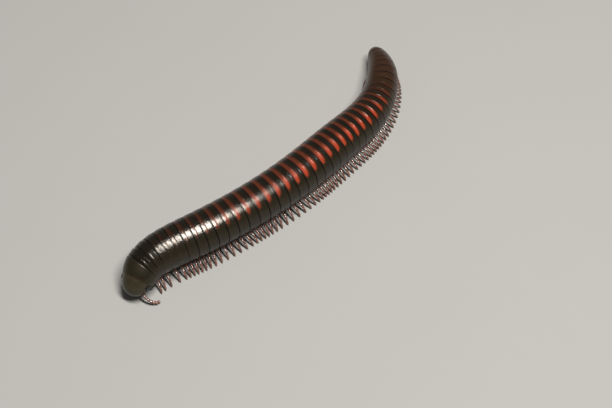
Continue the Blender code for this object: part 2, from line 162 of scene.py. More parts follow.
# Where the ridged rear part of a ring starts and ends, as places along it
REAR_START = (0.42, 0.50)
REAR_END = (0.93, 0.88)

# Where the soft skin of the suture lies on a ring, as places along it; its near black is painted shade
SUTURE = (0.0, 0.07)


def hex_colour(code):
    """Linear red, green and blue of an sRGB hex code."""
    levels = [int(code[k:k + 2], 16) / 255 for k in (1, 3, 5)]
    return tuple(v / 12.92 if v <= 0.04045 else ((v + 0.055) / 1.055) ** 2.4 for v in levels)


def smooth_value(knots, x):
    """Read a smooth curve through a few (place, value) knots."""
    places = np.array([knot[0] for knot in knots], dtype=float)
    values = np.array([knot[1] for knot in knots], dtype=float)
    slopes = np.gradient(values, places)
    x = np.clip(np.asarray(x, dtype=float), places[0], places[-1])
    i = np.clip(np.searchsorted(places, x) - 1, 0, len(places) - 2)
    span = places[i + 1] - places[i]
    t = (x - places[i]) / span
    start = (2 * t**3 - 3 * t**2 + 1) * values[i] + (t**3 - 2 * t**2 + t) * span * slopes[i]
    end = (3 * t**2 - 2 * t**3) * values[i + 1] + (t**3 - t**2) * span * slopes[i + 1]
    return start + end


def smooth_step(x, low, high):
    """Rise from 0 at low to 1 at high; low may lie above high."""
    t = np.clip((np.asarray(x, dtype=float) - low) / (high - low), 0.0, 1.0)
    return t * t * (3 - 2 * t)


def hump(x, width):
    """Fall smoothly from 1 at 0 to a third at a width."""
    return np.exp(-((x / width) ** 2))


def ring_starts():
    """Distance from the head's front to the front of each ring, and to the telson."""
    starts = {1: HEAD_LENGTH}
    for ring in range(1, RING_COUNT + 1):
        starts[ring + 1] = starts[ring] + float(smooth_value(RING_LENGTH, ring)) * MM
    return starts


RING_START = ring_starts()
BODY_LENGTH = RING_START[RING_COUNT + 1] + TELSON_LENGTH


def body_radius(place):
    """Radius of the body at a distance from the head's front."""
    middles = [(RING_START[ring] + RING_START[ring + 1]) / 2 for ring in range(1, RING_COUNT + 1)]
    girths = [float(smooth_value(RING_GIRTH, ring)) for ring in range(1, RING_COUNT + 1)]
    middles.append(BODY_LENGTH)
    girths.append(TELSON_END_GIRTH)
    return np.interp(place, middles, girths) * BODY_DIAMETER / 2


def body_path():
    """Places along the body and the axis points there, worked out step by step."""
    count = int(BODY_LENGTH / PATH_STEP) + 1
    places = np.linspace(0.0, BODY_LENGTH, count)
    step = places[1] - places[0]
    middle = (places[1:] + places[:-1]) / 2
    heading = np.radians(smooth_value(HEADING, middle / MM))
    bend = np.clip(middle / DROOP_LENGTH, 0.0, 1.0)
    pitch = DROOP_ANGLE * (0.5 + 0.5 * np.cos(math.pi * bend))
    level = np.cos(pitch) * step
    x = PATH_START[0] + np.concatenate(([0.0], np.cumsum(np.sin(heading) * level)))
    y = PATH_START[1] + np.concatenate(([0.0], np.cumsum(np.cos(heading) * level)))
    rise = np.concatenate(([0.0], np.cumsum(np.sin(pitch) * step)))
    carried = body_radius(np.maximum(places, DROOP_LENGTH))
    z = BELLY_CLEARANCE + carried - (rise[-1] - rise)
    return places, np.stack((x, y, z), axis=1)


PATH_PLACES, PATH_POINTS = body_path()


def axis_point(place):
    """Point of the body's axis at a distance from the head's front."""
    return Vector([float(np.interp(place, PATH_PLACES, PATH_POINTS[:, k])) for k in range(3)])


def frame_along(tail):
    """Directions to the left, up and towards the tail for a given tail direction."""
    tail = tail.normalized()
    left = tail.cross(Vector((0.0, 0.0, 1.0))).normalized()
    return left, left.cross(tail), tail


def body_frame(place):
    """Axis point, then the directions to the left, up and towards the tail."""
    run = axis_point(place + AXIS_REACH) - axis_point(place - AXIS_REACH)
    return axis_point(place), *frame_along(run)


def link(name, data):
    """Put mesh data into the scene as an object at the origin."""
    thing = bpy.data.objects.new(name, data)
    bpy.context.scene.collection.objects.link(thing)
    return thing


def face_outwards(data):
    """Turn a closed mesh right side out."""
    mesh = bmesh.new()
    mesh.from_mesh(data)
    if mesh.calc_volume(signed=True) < 0.0:
        bmesh.ops.reverse_faces(mesh, faces=mesh.faces)
    mesh.to_mesh(data)
    mesh.free()


def loft(name, rows, values=None, ring_shaped=False):
    """Closed mesh through rows of points, each row a closed loop.

    The rows meet end to end if it is ring shaped, and the ends are closed with fans if not. values
    are named numbers kept at each point, and the UV map runs round each row and along the rows.
    """
    rows = np.asarray(rows, dtype=float)
    count, sides = rows.shape[:2]
    points = rows.reshape(-1, 3)
    faces = []
    corners = []
    for i in range(count if ring_shaped else count - 1):
        following = (i + 1) % count
        for j in range(sides):
            k = (j + 1) % sides
            faces.append((i * sides + j, i * sides + k, following * sides + k, following * sides + j))
            corners += [(j, i), (j + 1, i), (j + 1, i + 1), (j, i + 1)]
    if not ring_shaped:
        points = np.vstack((points, rows[0].mean(axis=0), rows[-1].mean(axis=0)))
        for row, pole in ((0, len(points) - 2), (count - 1, len(points) - 1)):
            for j in range(sides):
                k = (j + 1) % sides
                pair = (row * sides + j, row * sides + k)
                faces.append((*(pair if row else pair[::-1]), pole))
                corners += [(j, row)] * 3
    data = bpy.data.meshes.new(name)
    data.from_pydata(points.tolist(), [], faces)
    for key, numbers in (values or {}).items():
        numbers = np.asarray(numbers, dtype=float).reshape(-1)
        if len(points) > len(numbers):
            numbers = np.concatenate((numbers, [numbers[0], numbers[-1]]))
        data.attributes.new(key, "FLOAT", "POINT").data.foreach_set("value", numbers.astype(np.float32))
    uv = np.array(corners, dtype=np.float32) / (sides, count)
    data.uv_layers.new(name="Cuticle").data.foreach_set("uv", uv.astype(np.float32).ravel())
    face_outwards(data)
    data.shade_smooth()
    return data


def join(name, meshes):
    """One mesh made of several."""
    mesh = bmesh.new()
    for data in meshes:
        mesh.from_mesh(data)
        bpy.data.meshes.remove(data)
    joined = bpy.data.meshes.new(name)
    mesh.to_mesh(joined)
    mesh.free()
    joined.shade_smooth()
    return joined


def finish_piece(piece, material, slot, *nodes):
    """Give a piece its material and its CAD body, and hide the CAD parts of the nodes that it stands for. The
    slot is not used.
    """
    piece.data.materials.clear()
    piece.data.materials.append(material)
    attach(piece, "root")
    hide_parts(*nodes)


# Nodes, each as its type, its settings and the output that is read. A ramp is given what it reads,
# where it starts and ends, and what it gives there. A mix takes its share at 0, its colours at 6 and 7


ADD = ("ShaderNodeMath", {"operation": "ADD"}, 0)
SUBTRACT = ("ShaderNodeMath", {"operation": "SUBTRACT"}, 0)
MULTIPLY = ("ShaderNodeMath", {"operation": "MULTIPLY"}, 0)
MAXIMUM = ("ShaderNodeMath", {"operation": "MAXIMUM"}, 0)
RAMP = ("ShaderNodeMapRange", {"interpolation_type": "SMOOTHSTEP"}, 0)
MIX = ("ShaderNodeMix", {"data_type": "RGBA"}, 2)
NOISE = ("ShaderNodeTexNoise", {}, 0)
BUMP = ("ShaderNodeBump", {}, 0)
PLACE = ("ShaderNodeTexCoord", {}, "Object")
ARROW_MINUS = ("ShaderNodeVectorMath", {"operation": "SUBTRACT"}, 0)
ARROW_TIMES = ("ShaderNodeVectorMath", {"operation": "SCALE"}, 0)
ARROW_DOT = ("ShaderNodeVectorMath", {"operation": "DOT_PRODUCT"}, "Value")
ARROW_LENGTH = ("ShaderNodeVectorMath", {"operation": "LENGTH"}, "Value")
THREE_SIZES = ("ShaderNodeCombineXYZ", {}, 0)
NUMBER = ("GeometryNodeInputNamedAttribute", {"data_type": "FLOAT"}, 0)
ARROW = ("GeometryNodeInputNamedAttribute", {"data_type": "FLOAT_VECTOR"}, 0)
FORM = ("GeometryNodeObjectInfo", {}, "Geometry")
SET_OUT = ("GeometryNodeInstanceOnPoints", {}, 0)
REALIZE = ("GeometryNodeRealizeInstances", {}, 0)


def feed(tree, node, inputs):
    """Set or link a node's inputs, given in order or by name. A colour gets its fourth number."""
    pairs = inputs.items() if isinstance(inputs, dict) else enumerate(inputs)
    for key, value in pairs:
        socket = node.inputs[key]
        if isinstance(value, bpy.types.NodeSocket):
            tree.links.new(value, socket)
        elif socket.type == "RGBA":
            socket.default_value = (*tuple(value)[:3], 1.0)
        else:
            socket.default_value = value


def add_node(tree, recipe, inputs=()):
    """Add a node with its settings and links, and give the output that is read."""
    kind, settings, output = recipe
    node = tree.nodes.new(kind)
    for name, value in settings.items():
        setattr(node, name, value)
    feed(tree, node, inputs)
    return node.outputs[output]


def new_tree(name, sockets):
    """Geometry Nodes tree with named inputs: the tree, its way to add nodes, and what it is given."""
    tree = bpy.data.node_groups.new(name, "GeometryNodeTree")
    tree.interface.new_socket("Geometry", in_out="INPUT", socket_type="NodeSocketGeometry")
    for label, kind in sockets.items():
        tree.interface.new_socket(label, in_out="INPUT", socket_type="NodeSocket" + kind)
    tree.interface.new_socket("Geometry", in_out="OUTPUT", socket_type="NodeSocketGeometry")
    return tree, partial(add_node, tree), tree.nodes.new("NodeGroupInput").outputs


def close_tree(tree, placed, material):
    """Realize what a tree places, give it its material and send it out."""
    real = add_node(tree, REALIZE, (placed,))
    dressed = add_node(tree, ("GeometryNodeSetMaterial", {}, 0), {"Geometry": real, "Material": material})
    feed(tree, tree.nodes.new("NodeGroupOutput"), (dressed,))
    return tree


def ring_tree():
    """Tree that sets one ring on each point of the body's axis and gives it its taper."""
    tree, add, given = new_tree("Rings on the body's axis", {
        "Ring": "Object", "Girth": "Float", "Material": "Material",
    })
    girth = add(MULTIPLY, (add(NUMBER, ("radius",)), given["Girth"]))
    turn = add(("FunctionNodeEulerToRotation", {}, 0), (add(ARROW, ("turn",)),))
    placed = add(SET_OUT, {
        "Points": given["Geometry"], "Instance": add(FORM, (given["Ring"],)), "Rotation": turn,
        "Scale": add(THREE_SIZES, (girth, add(NUMBER, ("length",)), girth)),
    })
    real = add(REALIZE, (placed,))
    way = add(ARROW, ("way",))
    offset = add(ARROW_MINUS, (add(("GeometryNodeInputPosition", {}, 0)), add(ARROW, ("front",))))
    axial = add(ARROW_TIMES, {0: way, "Scale": add(ARROW_DOT, (offset, way))})
    from_middle = add(SUBTRACT, (add(NUMBER, ("along",)), 0.5))
    share = add(MULTIPLY, (from_middle, add(NUMBER, ("taper",))))
    shift = add(ARROW_TIMES, {0: add(ARROW_MINUS, (offset, axial)), "Scale": share})
    tapered = add(("GeometryNodeSetPosition", {}, 0), {"Geometry": real, "Offset": shift})
    return close_tree(tree, tapered, given["Material"])


def article_tree():
    """Tree that sets an article on each edge of a skeleton, and another on the edges marked as tips."""
    tree, add, given = new_tree("Articles on a limb's skeleton", {
        "Article": "Object", "Tip": "Object", "Thickness": "Float", "Overlap": "Float",
        "Material": "Material",
    })
    ends = tree.nodes.new("GeometryNodeInputMeshEdgeVertices").outputs
    kept = add(("GeometryNodeStoreNamedAttribute", {"data_type": "FLOAT_VECTOR", "domain": "EDGE"}, 0), {
        "Geometry": given["Geometry"], "Name": "run",
        "Value": add(ARROW_MINUS, (ends["Position 2"], ends["Position 1"])),
    })
    points = add(("GeometryNodeMeshToPoints", {"mode": "EDGES"}, 0), {"Mesh": kept})
    run = add(ARROW, ("run",))
    turn = add(("FunctionNodeAlignRotationToVector", {"axis": "Z"}, 0), {"Vector": run})
    longer = add(MULTIPLY, (add(ARROW_LENGTH, (run,)), given["Overlap"]))
    thick = add(MULTIPLY, (add(NUMBER, ("thick",)), given["Thickness"]))
    size = add(THREE_SIZES, (thick, thick, longer))
    is_tip = add(("FunctionNodeCompare", {"data_type": "FLOAT", "operation": "GREATER_THAN"}, 0), {
        "A": add(NUMBER, ("tip",)), "B": 0.5,
    })
    is_not = add(("FunctionNodeBooleanMath", {"operation": "NOT"}, 0), (is_tip,))
    both = tree.nodes.new("GeometryNodeJoinGeometry")
    for label, chosen in (("Tip", is_tip), ("Article", is_not)):
        placed = add(SET_OUT, {
            "Points": points, "Selection": chosen, "Instance": add(FORM, (given[label],)),
            "Rotation": turn, "Scale": size,
        })
        feed(tree, both, (placed,))
    return close_tree(tree, both.outputs[0], given["Material"])


def bead_tree():
    """Tree that sets a small round lens on each point of a patch."""
    tree, add, given = new_tree("Lenses on a patch", {"Lens radius": "Float", "Material": "Material"})
    lens = add(("GeometryNodeMeshIcoSphere", {}, "Mesh"), {"Radius": given["Lens radius"], "Subdivisions": 3})
    points = add(("GeometryNodeMeshToPoints", {}, 0), {"Mesh": given["Geometry"]})
    placed = add(SET_OUT, {"Points": points, "Instance": lens, "Scale": add(NUMBER, ("size",))})
    return close_tree(tree, placed, given["Material"])


def dress(name, skeleton, tree, inputs):
    """Run a tree on a skeleton mesh, and keep the result as a plain mesh object."""
    holder = link(name + "_skeleton", skeleton)
    modifier = holder.modifiers.new("Dress", "NODES")
    modifier.node_group = tree
    for socket in tree.interface.items_tree:
        if socket.in_out == "INPUT" and socket.name in inputs:
            modifier[socket.identifier] = inputs[socket.name]
    evaluated = holder.evaluated_get(bpy.context.evaluated_depsgraph_get())
    data = bpy.data.meshes.new_from_object(evaluated)
    holder.modifiers.clear()
    bpy.data.objects.remove(holder)
    for key in ("turn", "way", "front", "run", "radius", "length", "taper", "thick", "tip", "size"):
        if key in data.attributes:
            data.attributes.remove(data.attributes[key])
    data.shade_smooth()
    return link(name, data)


def store(data, key, kind, numbers):
    """Keep an attribute on a skeleton's points or edges."""
    domain = "EDGE" if data.edges else "POINT"
    attribute = data.attributes.new(key, kind, domain)
    field = "vector" if kind == "FLOAT_VECTOR" else "value"
    attribute.data.foreach_set(field, np.asarray(numbers, dtype=np.float32).ravel())


def limb_skeleton(points, edges, thick, tips):
    """Edges of a limb, each with the thickness of its article and whether it is a tip."""
    data = bpy.data.meshes.new("limb_skeleton")
    data.from_pydata(points, edges, [])
    store(data, "thick", "FLOAT", thick)
    store(data, "tip", "FLOAT", tips)
    return data


# Materials


CHITIN_IOR = 1.50
THIN_CHITIN_IOR = 1.56
GLOSS_TINT = hex_colour("#FFF7EC")

# Cloudy patches and fine grain of the rings' cuticle
PATCH_SPACING = 1.1 * MM
GRAIN_SPACING = 0.25 * MM

# Where the middle of a noise lies, between which a pattern goes from one look to the other
NOISE_MIDDLE = (0.3, 0.7)

# Places round a ring run from 0 in the middle of the pattern to 1 at the belly, and places along it
# from 0 at the suture to 1 at the rear edge. A fade is where it starts and where it ends
BAND_WIDTH = (0.06, 0.26, 0.43, 0.52)
BAND_REAR_FADE = (0.17, -0.17)
BAND_FRONT_FADE = (-0.44, -0.26)
BAND_LOW_FADE = (0.03, -0.06)
BAND_BRIGHTENING = (0.10, 0.31)
BAND_MIDDLE = 0.26
BAND_ROUNDING = 0.4
BAND_UNEVENNESS = 0.10
BAND_GRAIN = (0.35, 0.75, 0.0, 0.45)
TAIL_NARROWING = 0.30
FLANK_FADE = (0.22, 0.40)
BELLY_FADE = (0.62, 0.80)
FRONT_PART_FADE = (0.46, 0.38)
FRONT_PART_SIDES = (0.2, 0.4)
FRONT_PART_PALENESS = 0.35
# Painted shade at the front edge of each ring, under the rim of the ring before, as places along it
SEAM_SHADE_END = (0.14, 0.08)
SEAM_SHADE_START = (-0.06, -0.01)
FLANK_DULLING = (0.26, 0.50, 0.0, 0.16)

# Fine wrinkles round a ring, 0.3 mm apart on the widest one, and how often each breaks along it
WRINKLES = (110.0, 4.0, 1.0)

# Head, collar and tail plates: where their darker clouds fade in, and what share of the colour is left
PLATE_CLOUDS = (0.3, 0.75)
PLATE_DARKENING = 0.72

# What share of the floor's colour is left in its mottle
FLOOR_DARKENING = 0.97

# Pale skin at the root and the end of a limb's article: its fade along it, and how pale it is
ROOT_SKIN = (0.08, 0.20, 0.6, 0.0)
END_SKIN = (0.90, 0.98, 0.0, 0.6)


def new_material(name):
    """Material, with the way to add nodes to it and the way to feed its shader."""
    material = bpy.data.materials.new(name)
    material.use_nodes = True
    tree = material.node_tree
    return material, partial(add_node, tree), partial(feed, tree, tree.nodes["Principled BSDF"])


def patch_sizes(place, spacing, detail=3.0):
    """What a noise is given for cloudy patches about a spacing in metres wide."""
    return {"Vector": place, "Scale": 1.0 / spacing, "Detail": detail, "Roughness": 0.55}


def darkened(colour, share):
    """Colour at a share of its brightness."""
    return tuple(share * level for level in tuple(colour)[:3])


def cuticle_ring(colours, finish):
    """Hard chitin and chalk, moulded by growth: near black and glossy over fine lengthwise wrinkles.

    The front part of each ring is paler, and carries the orange-red band over the back. Its front edge is
    painted black as shade, and the bands stay dull further down the right side as painted shade.
    """
    material, add, feed_shader = new_material("ring cuticle, glossy chitin")
    along, around, reach, strength, rust = (
        add(("ShaderNodeAttribute", {"attribute_name": key}, "Fac"))
        for key in ("along", "around", "reach", "band", "rust")
    )
    place = add(PLACE)
    patches = add(NOISE, patch_sizes(place, PATCH_SPACING))
    grain = add(NOISE, patch_sizes(place, GRAIN_SPACING))
    uneven = add(MULTIPLY, (add(SUBTRACT, (patches, 0.5)), BAND_UNEVENNESS))
    # The band: its rear, front and lower edges
    width = add(RAMP, (around, *BAND_WIDTH))
    width = add(SUBTRACT, (width, add(MULTIPLY, (rust, TAIL_NARROWING))))
    behind = add(SUBTRACT, (add(ADD, (along, uneven)), width))
    band = add(MULTIPLY, (
        add(RAMP, (behind, *BAND_REAR_FADE)),
        add(RAMP, (add(SUBTRACT, (along, width)), *BAND_FRONT_FADE)),
    ))
    off_middle = add(SUBTRACT, (along, BAND_MIDDLE))
    rounding = add(MULTIPLY, (add(MULTIPLY, (off_middle, off_middle)), BAND_ROUNDING))
    low = add(SUBTRACT, (add(ADD, (add(ADD, (around, rounding)), uneven)), reach))
    band = add(MULTIPLY, (add(MULTIPLY, (band, add(RAMP, (low, *BAND_LOW_FADE)))), strength))
    # Since the pattern is turned to the right, the bright orange red starts further down the right side:
    # painted shade
    bright = add(MULTIPLY, (add(RAMP, (around, *BAND_BRIGHTENING)), strength))
    red = add(MIX, {0: bright, 6: colours.band_top, 7: colours.band_side})
    red = add(MIX, {0: add(RAMP, (grain, *BAND_GRAIN)), 6: red, 7: colours.band_top})
    # The dark ground, from the back down to the belly and rusty towards the tail
    ground = add(MIX, {0: add(RAMP, (around, *FLANK_FADE)), 6: colours.back, 7: colours.flank})
    ground = add(MIX, {0: add(RAMP, (around, *BELLY_FADE)), 6: ground, 7: colours.belly})
    front_part = add(MULTIPLY, (
        add(RAMP, (along, *FRONT_PART_FADE)), add(RAMP, (around, *FRONT_PART_SIDES)),
    ))
    paler = add(MULTIPLY, (front_part, FRONT_PART_PALENESS))
    ground = add(MIX, {0: paler, 6: ground, 7: colours.belly})
    ground = add(MIX, {0: rust, 6: ground, 7: colours.tail})
    colour = add(MIX, {0: band, 6: ground, 7: red})
    # Painted shade: the front edge of each ring goes black where the ring before overhangs it
    seam = add(MULTIPLY, (
        add(RAMP, (along, *SEAM_SHADE_END)), add(RAMP, (along, *SEAM_SHADE_START)),
    ))
    colour = add(MIX, {0: seam, 6: colour, 7: hex_colour("#000000")})
    rough = add(RAMP, (grain, *NOISE_MIDDLE, finish.roughness - 0.05, finish.roughness + 0.06))
    rough = add(ADD, (rough, add(RAMP, (around, *FLANK_DULLING))))
    uv = add(("ShaderNodeUVMap", {"uv_map": "Cuticle"}, 0))
    streaks = add(("ShaderNodeMapping", {}, 0), {"Vector": uv, "Scale": WRINKLES})
    wrinkle = add(NOISE, {"Vector": streaks, "Scale": 1.0, "Detail": 4.0, "Roughness": 0.6})
    fine = add(BUMP, {"Height": wrinkle, "Strength": finish.wrinkle, "Distance": 0.06 * MM})
    pitted = add(BUMP, {"Height": patches, "Strength": 0.5, "Distance": 0.03 * MM, "Normal": fine})
    feed_shader({
        "Base Color": colour, "Roughness": rough, "Normal": pitted, "IOR": CHITIN_IOR,
        "Specular IOR Level": 0.40, "Specular Tint": GLOSS_TINT,
    })
    return material


def cuticle_plain(name, colour, edge_colour, roughness, spacing):
    """Chitin with a cloudy change of colour and a faint grain, as on head, collar and tail plates."""
    material, add, feed_shader = new_material(name)
    place = add(PLACE)
    edge = add(("ShaderNodeAttribute", {"attribute_name": "edge"}, "Fac"))
    clouds = add(RAMP, (add(NOISE, patch_sizes(place, spacing)), *PLATE_CLOUDS))
    shade = add(MIX, {0: clouds, 6: colour, 7: darkened(colour, PLATE_DARKENING)})
    grain = add(NOISE, patch_sizes(place, 0.12 * MM, 4.0))
    feed_shader({
        "Base Color": add(MIX, {0: edge, 6: shade, 7: edge_colour}),
        "Roughness": add(RAMP, (grain, *NOISE_MIDDLE, roughness - 0.04, roughness + 0.06)),
        "Normal": add(BUMP, {"Height": grain, "Strength": 0.4, "Distance": 0.02 * MM}),
        "IOR": CHITIN_IOR, "Specular IOR Level": 0.34, "Specular Tint": GLOSS_TINT,
    })
    return material


def cuticle_limb(colours):
    """Thin chitin of legs and feelers: red brown, paler at the joints, glossy."""
    material, add, feed_shader = new_material("limb cuticle, thin glossy chitin")
    place = add(PLACE)
    along = add(("ShaderNodeAttribute", {"attribute_name": "along"}, "Fac"))
    joint = add(MAXIMUM, (add(RAMP, (along, *ROOT_SKIN)), add(RAMP, (along, *END_SKIN))))
    clouds = add(RAMP, (add(NOISE, patch_sizes(place, 1.5 * MM)), *NOISE_MIDDLE))
    shade = add(MIX, {0: clouds, 6: colours.leg, 7: colours.leg_dark})
    grain = add(NOISE, patch_sizes(place, 0.1 * MM))
    feed_shader({
        "Base Color": add(MIX, {0: joint, 6: shade, 7: colours.leg_joint}),
        "Normal": add(BUMP, {"Height": grain, "Strength": 0.3, "Distance": 0.015 * MM}),
        "Roughness": 0.22, "IOR": THIN_CHITIN_IOR, "Coat Weight": 0.6, "Coat Roughness": 0.10,
    })
    return material


def suture_skin_painted_shade():
    """Soft skin between two plates, unpolished and matt; its near black is painted shade, the shadow of the
    plate before.
    """
    material, add, feed_shader = new_material("suture skin, matt, painted shade")
    folds = add(NOISE, patch_sizes(add(PLACE), 0.15 * MM))
    feed_shader({
        "Base Color": add(MIX, {0: folds, 6: hex_colour("#0B0805"), 7: hex_colour("#040302")}),
        "Roughness": 0.65, "IOR": 1.40, "Specular IOR Level": 0.10,
    })
    return material


def lens_black():
    """Clear cuticle over black pigment, as in simple eyes: a wet black with a sharp glint."""
    material, _, feed_shader = new_material("eye lens, clear chitin over black")
    feed_shader({"Base Color": hex_colour("#060504"), "Roughness": 0.10, "IOR": THIN_CHITIN_IOR})
    return material


def matt_floor(colour):
    """Matt emulsion paint on a studio floor, rolled: an even pale tone with a faint mottle."""
    material, add, feed_shader = new_material("studio floor, matt emulsion")
    mottle = add(NOISE, patch_sizes(add(PLACE), 30 * MM))
    shade = add(MIX, {0: mottle, 6: colour, 7: darkened(colour, FLOOR_DARKENING)})
    feed_shader({"Base Color": shade, "Roughness": 0.85})
    return material


# Forms


def unit_ring(sides, stria_depth):
    """One ring of the body, of radius 1 and length 1: a shell with a rolled rear rim and flank ridges.

    Each ridge is four faces wide. down runs from 0 at the middle of the back to 1 at the belly, and
    the pattern is turned against it, to the right, as painted shade that keeps the right side's bands dull.
    """
    turn = 2 * math.pi * np.arange(sides) / sides
    signed = np.where(turn > math.pi, turn - 2 * math.pi, turn)
    down = np.abs(signed) / math.pi
    # Painted shade: the pattern's middle is turned to the right, so the right side's bands stay dull as if in
    # shade
    pigment = np.abs(signed + math.radians(PAINTED_SHADE_TURN)) / math.pi
    level = np.maximum(np.cos(turn), -BELLY_FLAT)
    on_flank = smooth_step(down, *RIDGES_START) * smooth_step(down, *RIDGES_END)
    ridges = 0.5 - 0.5 * np.cos(np.arange(sides) * math.pi / 2)
    rows = []
    along = []
    for number, (place, share) in enumerate(RING_PROFILE):
        outer = number < OUTER_ROWS
        on_rear = smooth_step(place, *REAR_START) * smooth_step(place, *REAR_END) * outer
        radius = share * (1.0 - stria_depth * on_flank * on_rear * ridges)
        rows.append(np.stack((np.sin(turn) * radius, np.full(sides, place), level * radius), axis=1))
        along.append(np.full(sides, place))
    around = np.tile(pigment, (len(rows), 1))
    return loft("unit_ring", rows, {"along": along, "around": around}, ring_shaped=True)


# A hair is a slim three-sided cone, its sizes as shares of the article's radius
HAIR_CORNERS = (0.0, 2.1, 4.2)
HAIR_THICKNESS = 0.06
HAIR_FLATNESS = 0.5
HAIR_POINT = 0.01
HAIR_ROOT = 0.9
HAIR_LEAN = 0.28
HAIR_PLACES = (0.45, 0.85)


def unit_article(name, profile, sides, hairs=0, hair_length=0.5, seed=1):
    """One article of a limb, of radius 1 and length 1 on the Z axis, with a few short hairs."""
    turn = 2 * math.pi * np.arange(sides) / sides
    rows = [
        np.stack((np.cos(turn) * radius, np.sin(turn) * radius, np.full(sides, place - 0.5)), axis=1)
        for place, radius in profile
    ]
    along = [np.full(sides, place) for place, _ in profile]
    parts = [loft(name, rows, {"along": along})]
    draw = np.random.default_rng(seed)
    for _ in range(hairs):
        angle = draw.uniform(0, 2 * math.pi)
        place = draw.uniform(*HAIR_PLACES)
        radius = float(np.interp(place, *zip(*profile)))
        spoke = np.array((math.cos(angle), math.sin(angle), 0.0))
        side = np.array((-math.sin(angle), math.cos(angle), 0.0))
        root = spoke * radius * HAIR_ROOT + (0.0, 0.0, place - 0.5)
        tip = spoke * (radius + hair_length) + (0.0, 0.0, place - 0.5 + HAIR_LEAN)
        flat = np.array((0.0, 0.0, HAIR_FLATNESS))
        ring = [side * math.cos(corner) + flat * math.sin(corner) for corner in HAIR_CORNERS]
        base = [root + HAIR_THICKNESS * arm for arm in ring]
        point = [tip + HAIR_POINT * HAIR_THICKNESS * arm for arm in ring]
        parts.append(loft(name + "_hair", [base, point], {"along": np.full((2, 3), 0.5)}))
    return join(name, parts)


LEG_ARTICLE = (
    (0.0, 0.30), (0.02, 0.72), (0.07, 0.83), (0.35, 0.87), (0.65, 0.92), (0.87, 0.95),
    (0.95, 0.92), (0.985, 0.76), (1.0, 0.30),
)
CLAW_ARTICLE = ((0.0, 0.30), (0.03, 0.75), (0.15, 0.80), (0.5, 0.50), (0.85, 0.22), (1.0, 0.05))
FEELER_ARTICLE = (
    (0.0, 0.25), (0.02, 0.50), (0.12, 0.60), (0.30, 0.74), (0.50, 0.90), (0.68, 1.0),
    (0.82, 0.99), (0.92, 0.88), (0.98, 0.62), (1.0, 0.25),
)


def leg_places():
    """Distance along the body of every pair of legs, by ring."""
    places = []
    for ring in range(FIRST_LEG_RING, LAST_LEG_RING + 1):
        length = RING_START[ring + 1] - RING_START[ring]
        shares = (0.5,) if ring < FIRST_DOUBLE_RING else (0.25, 0.75)
        for share in shares:
            places.append((ring, RING_START[ring] + share * length))
    return places


# Joints of a leg: share of its reach, share of the belly's height, share of the swing, thickness
LEG_JOINTS = (
    (0.16, 1.06, 0.00, 1.00), (0.27, 0.90, 0.10, 1.05), (0.42, 0.98, 0.25, 1.00), (0.59, 0.96, 0.45, 0.92),
    (0.73, 0.82, 0.60, 0.86), (0.85, 0.58, 0.76, 0.78), (0.95, 0.22, 0.92, 0.60), (1.0, 0.02, 1.0, 0.0),
)


def leg_joints(place, side):
    """Joint points of one leg from its root to its claw, and the thickness after each."""
    centre, left, up, tail = body_frame(place)
    radius = float(body_radius(place))
    size = radius / (BODY_DIAMETER / 2)
    out = Vector((left.x, left.y, 0.0)).normalized() * side
    along = Vector((tail.x, tail.y, 0.0)).normalized()
    belly = centre - up * (radius * BELLY_FLAT)
    wave = math.sin(2 * math.pi * place / WAVE_LENGTH + WAVE_PHASE[side])
    lean = max(1.0 - (place - RING_START[FIRST_LEG_RING]) / FRONT_LEAN_LENGTH, 0.0)
    swing = along * (WAVE_SWING * size * wave - FRONT_LEAN * lean)
    reach = out * (LEG_REACH_LEAST + (LEG_REACH - LEG_REACH_LEAST) * size)
    joints = []
    for share, height, part, thick in LEG_JOINTS:
        point = belly + reach * share + swing * part
        point.z = belly.z * height
        joints.append((point, thick * (1.0 - LEG_SLIMMING * (1.0 - size))))
    return joints


# Property groups: what a user would change


def colour_setting(name, description, code):
    """Colour that a user can change, from its sRGB hex code."""
    return bpy.props.FloatVectorProperty(
        name=name, description=description, subtype="COLOR", size=3, default=hex_colour(code)
    )


def number_setting(name, description, default, **more):
    """Number that a user can change."""
    return bpy.props.FloatProperty(name=name, description=description, default=default, **more)


class MillipedeColours(bpy.types.PropertyGroup):
    """Colours of the cuticle."""

    back: colour_setting("Back", "Near black rear part of each ring", "#100D07")
    flank: colour_setting("Flank", "Olive brown of the sides", "#19150B")
    belly: colour_setting("Belly", "Red brown of the underside", "#22190F")
    band_side: colour_setting("Band, sides", "Orange red where the band comes down the sides", "#88301A")
    band_top: colour_setting("Band, back", "Dull red of the band over the middle of the back", "#431D10")
    leg: colour_setting("Legs", "Red brown of the legs and feelers", "#6B483C")
    leg_dark: colour_setting("Legs, dark", "Darker patches of the legs", "#4E3128")
    leg_joint: colour_setting("Leg joints", "Paler skin at the joints", "#825F51")
    collum: colour_setting("Collum", "Dark olive brown of the collar plate", "#1E1A10")
    head: colour_setting("Head", "Olive brown of the head", "#2D291B")
    rim: colour_setting("Rims", "Brown red of plate edges at head and tail", "#3C2217")
    tail: colour_setting("Tail", "Dull dark red of the last ring", "#2B190E")


class MillipedeForm(bpy.types.PropertyGroup):
    """Sizes of the surface detail."""

    ring_sides: bpy.props.IntProperty(
        name="Ring sides", description="Number of faces round a ring", default=256, min=32, max=512
    )
    stria_depth: number_setting(
        "Ridge depth", "Depth of the flank ridges as a share of a ring's radius", 0.006,
        min=0.0, max=0.02, subtype="FACTOR",
    )
    leg_radius: number_setting(
        "Leg radius", "Radius of a leg near its root", 0.35 * MM, unit="LENGTH", precision=5
    )
    lens_radius: number_setting(
        "Lens radius", "Radius of one simple eye", 0.10 * MM, unit="LENGTH", precision=5
    )
    roughness: number_setting(
        "Roughness", "Roughness of the rings' gloss", 0.16, min=0.05, max=0.9, subtype="FACTOR"
    )
    wrinkle: number_setting(
        "Wrinkles", "Strength of the fine lengthwise wrinkles", 0.8, min=0.0, max=1.0, subtype="FACTOR"
    )


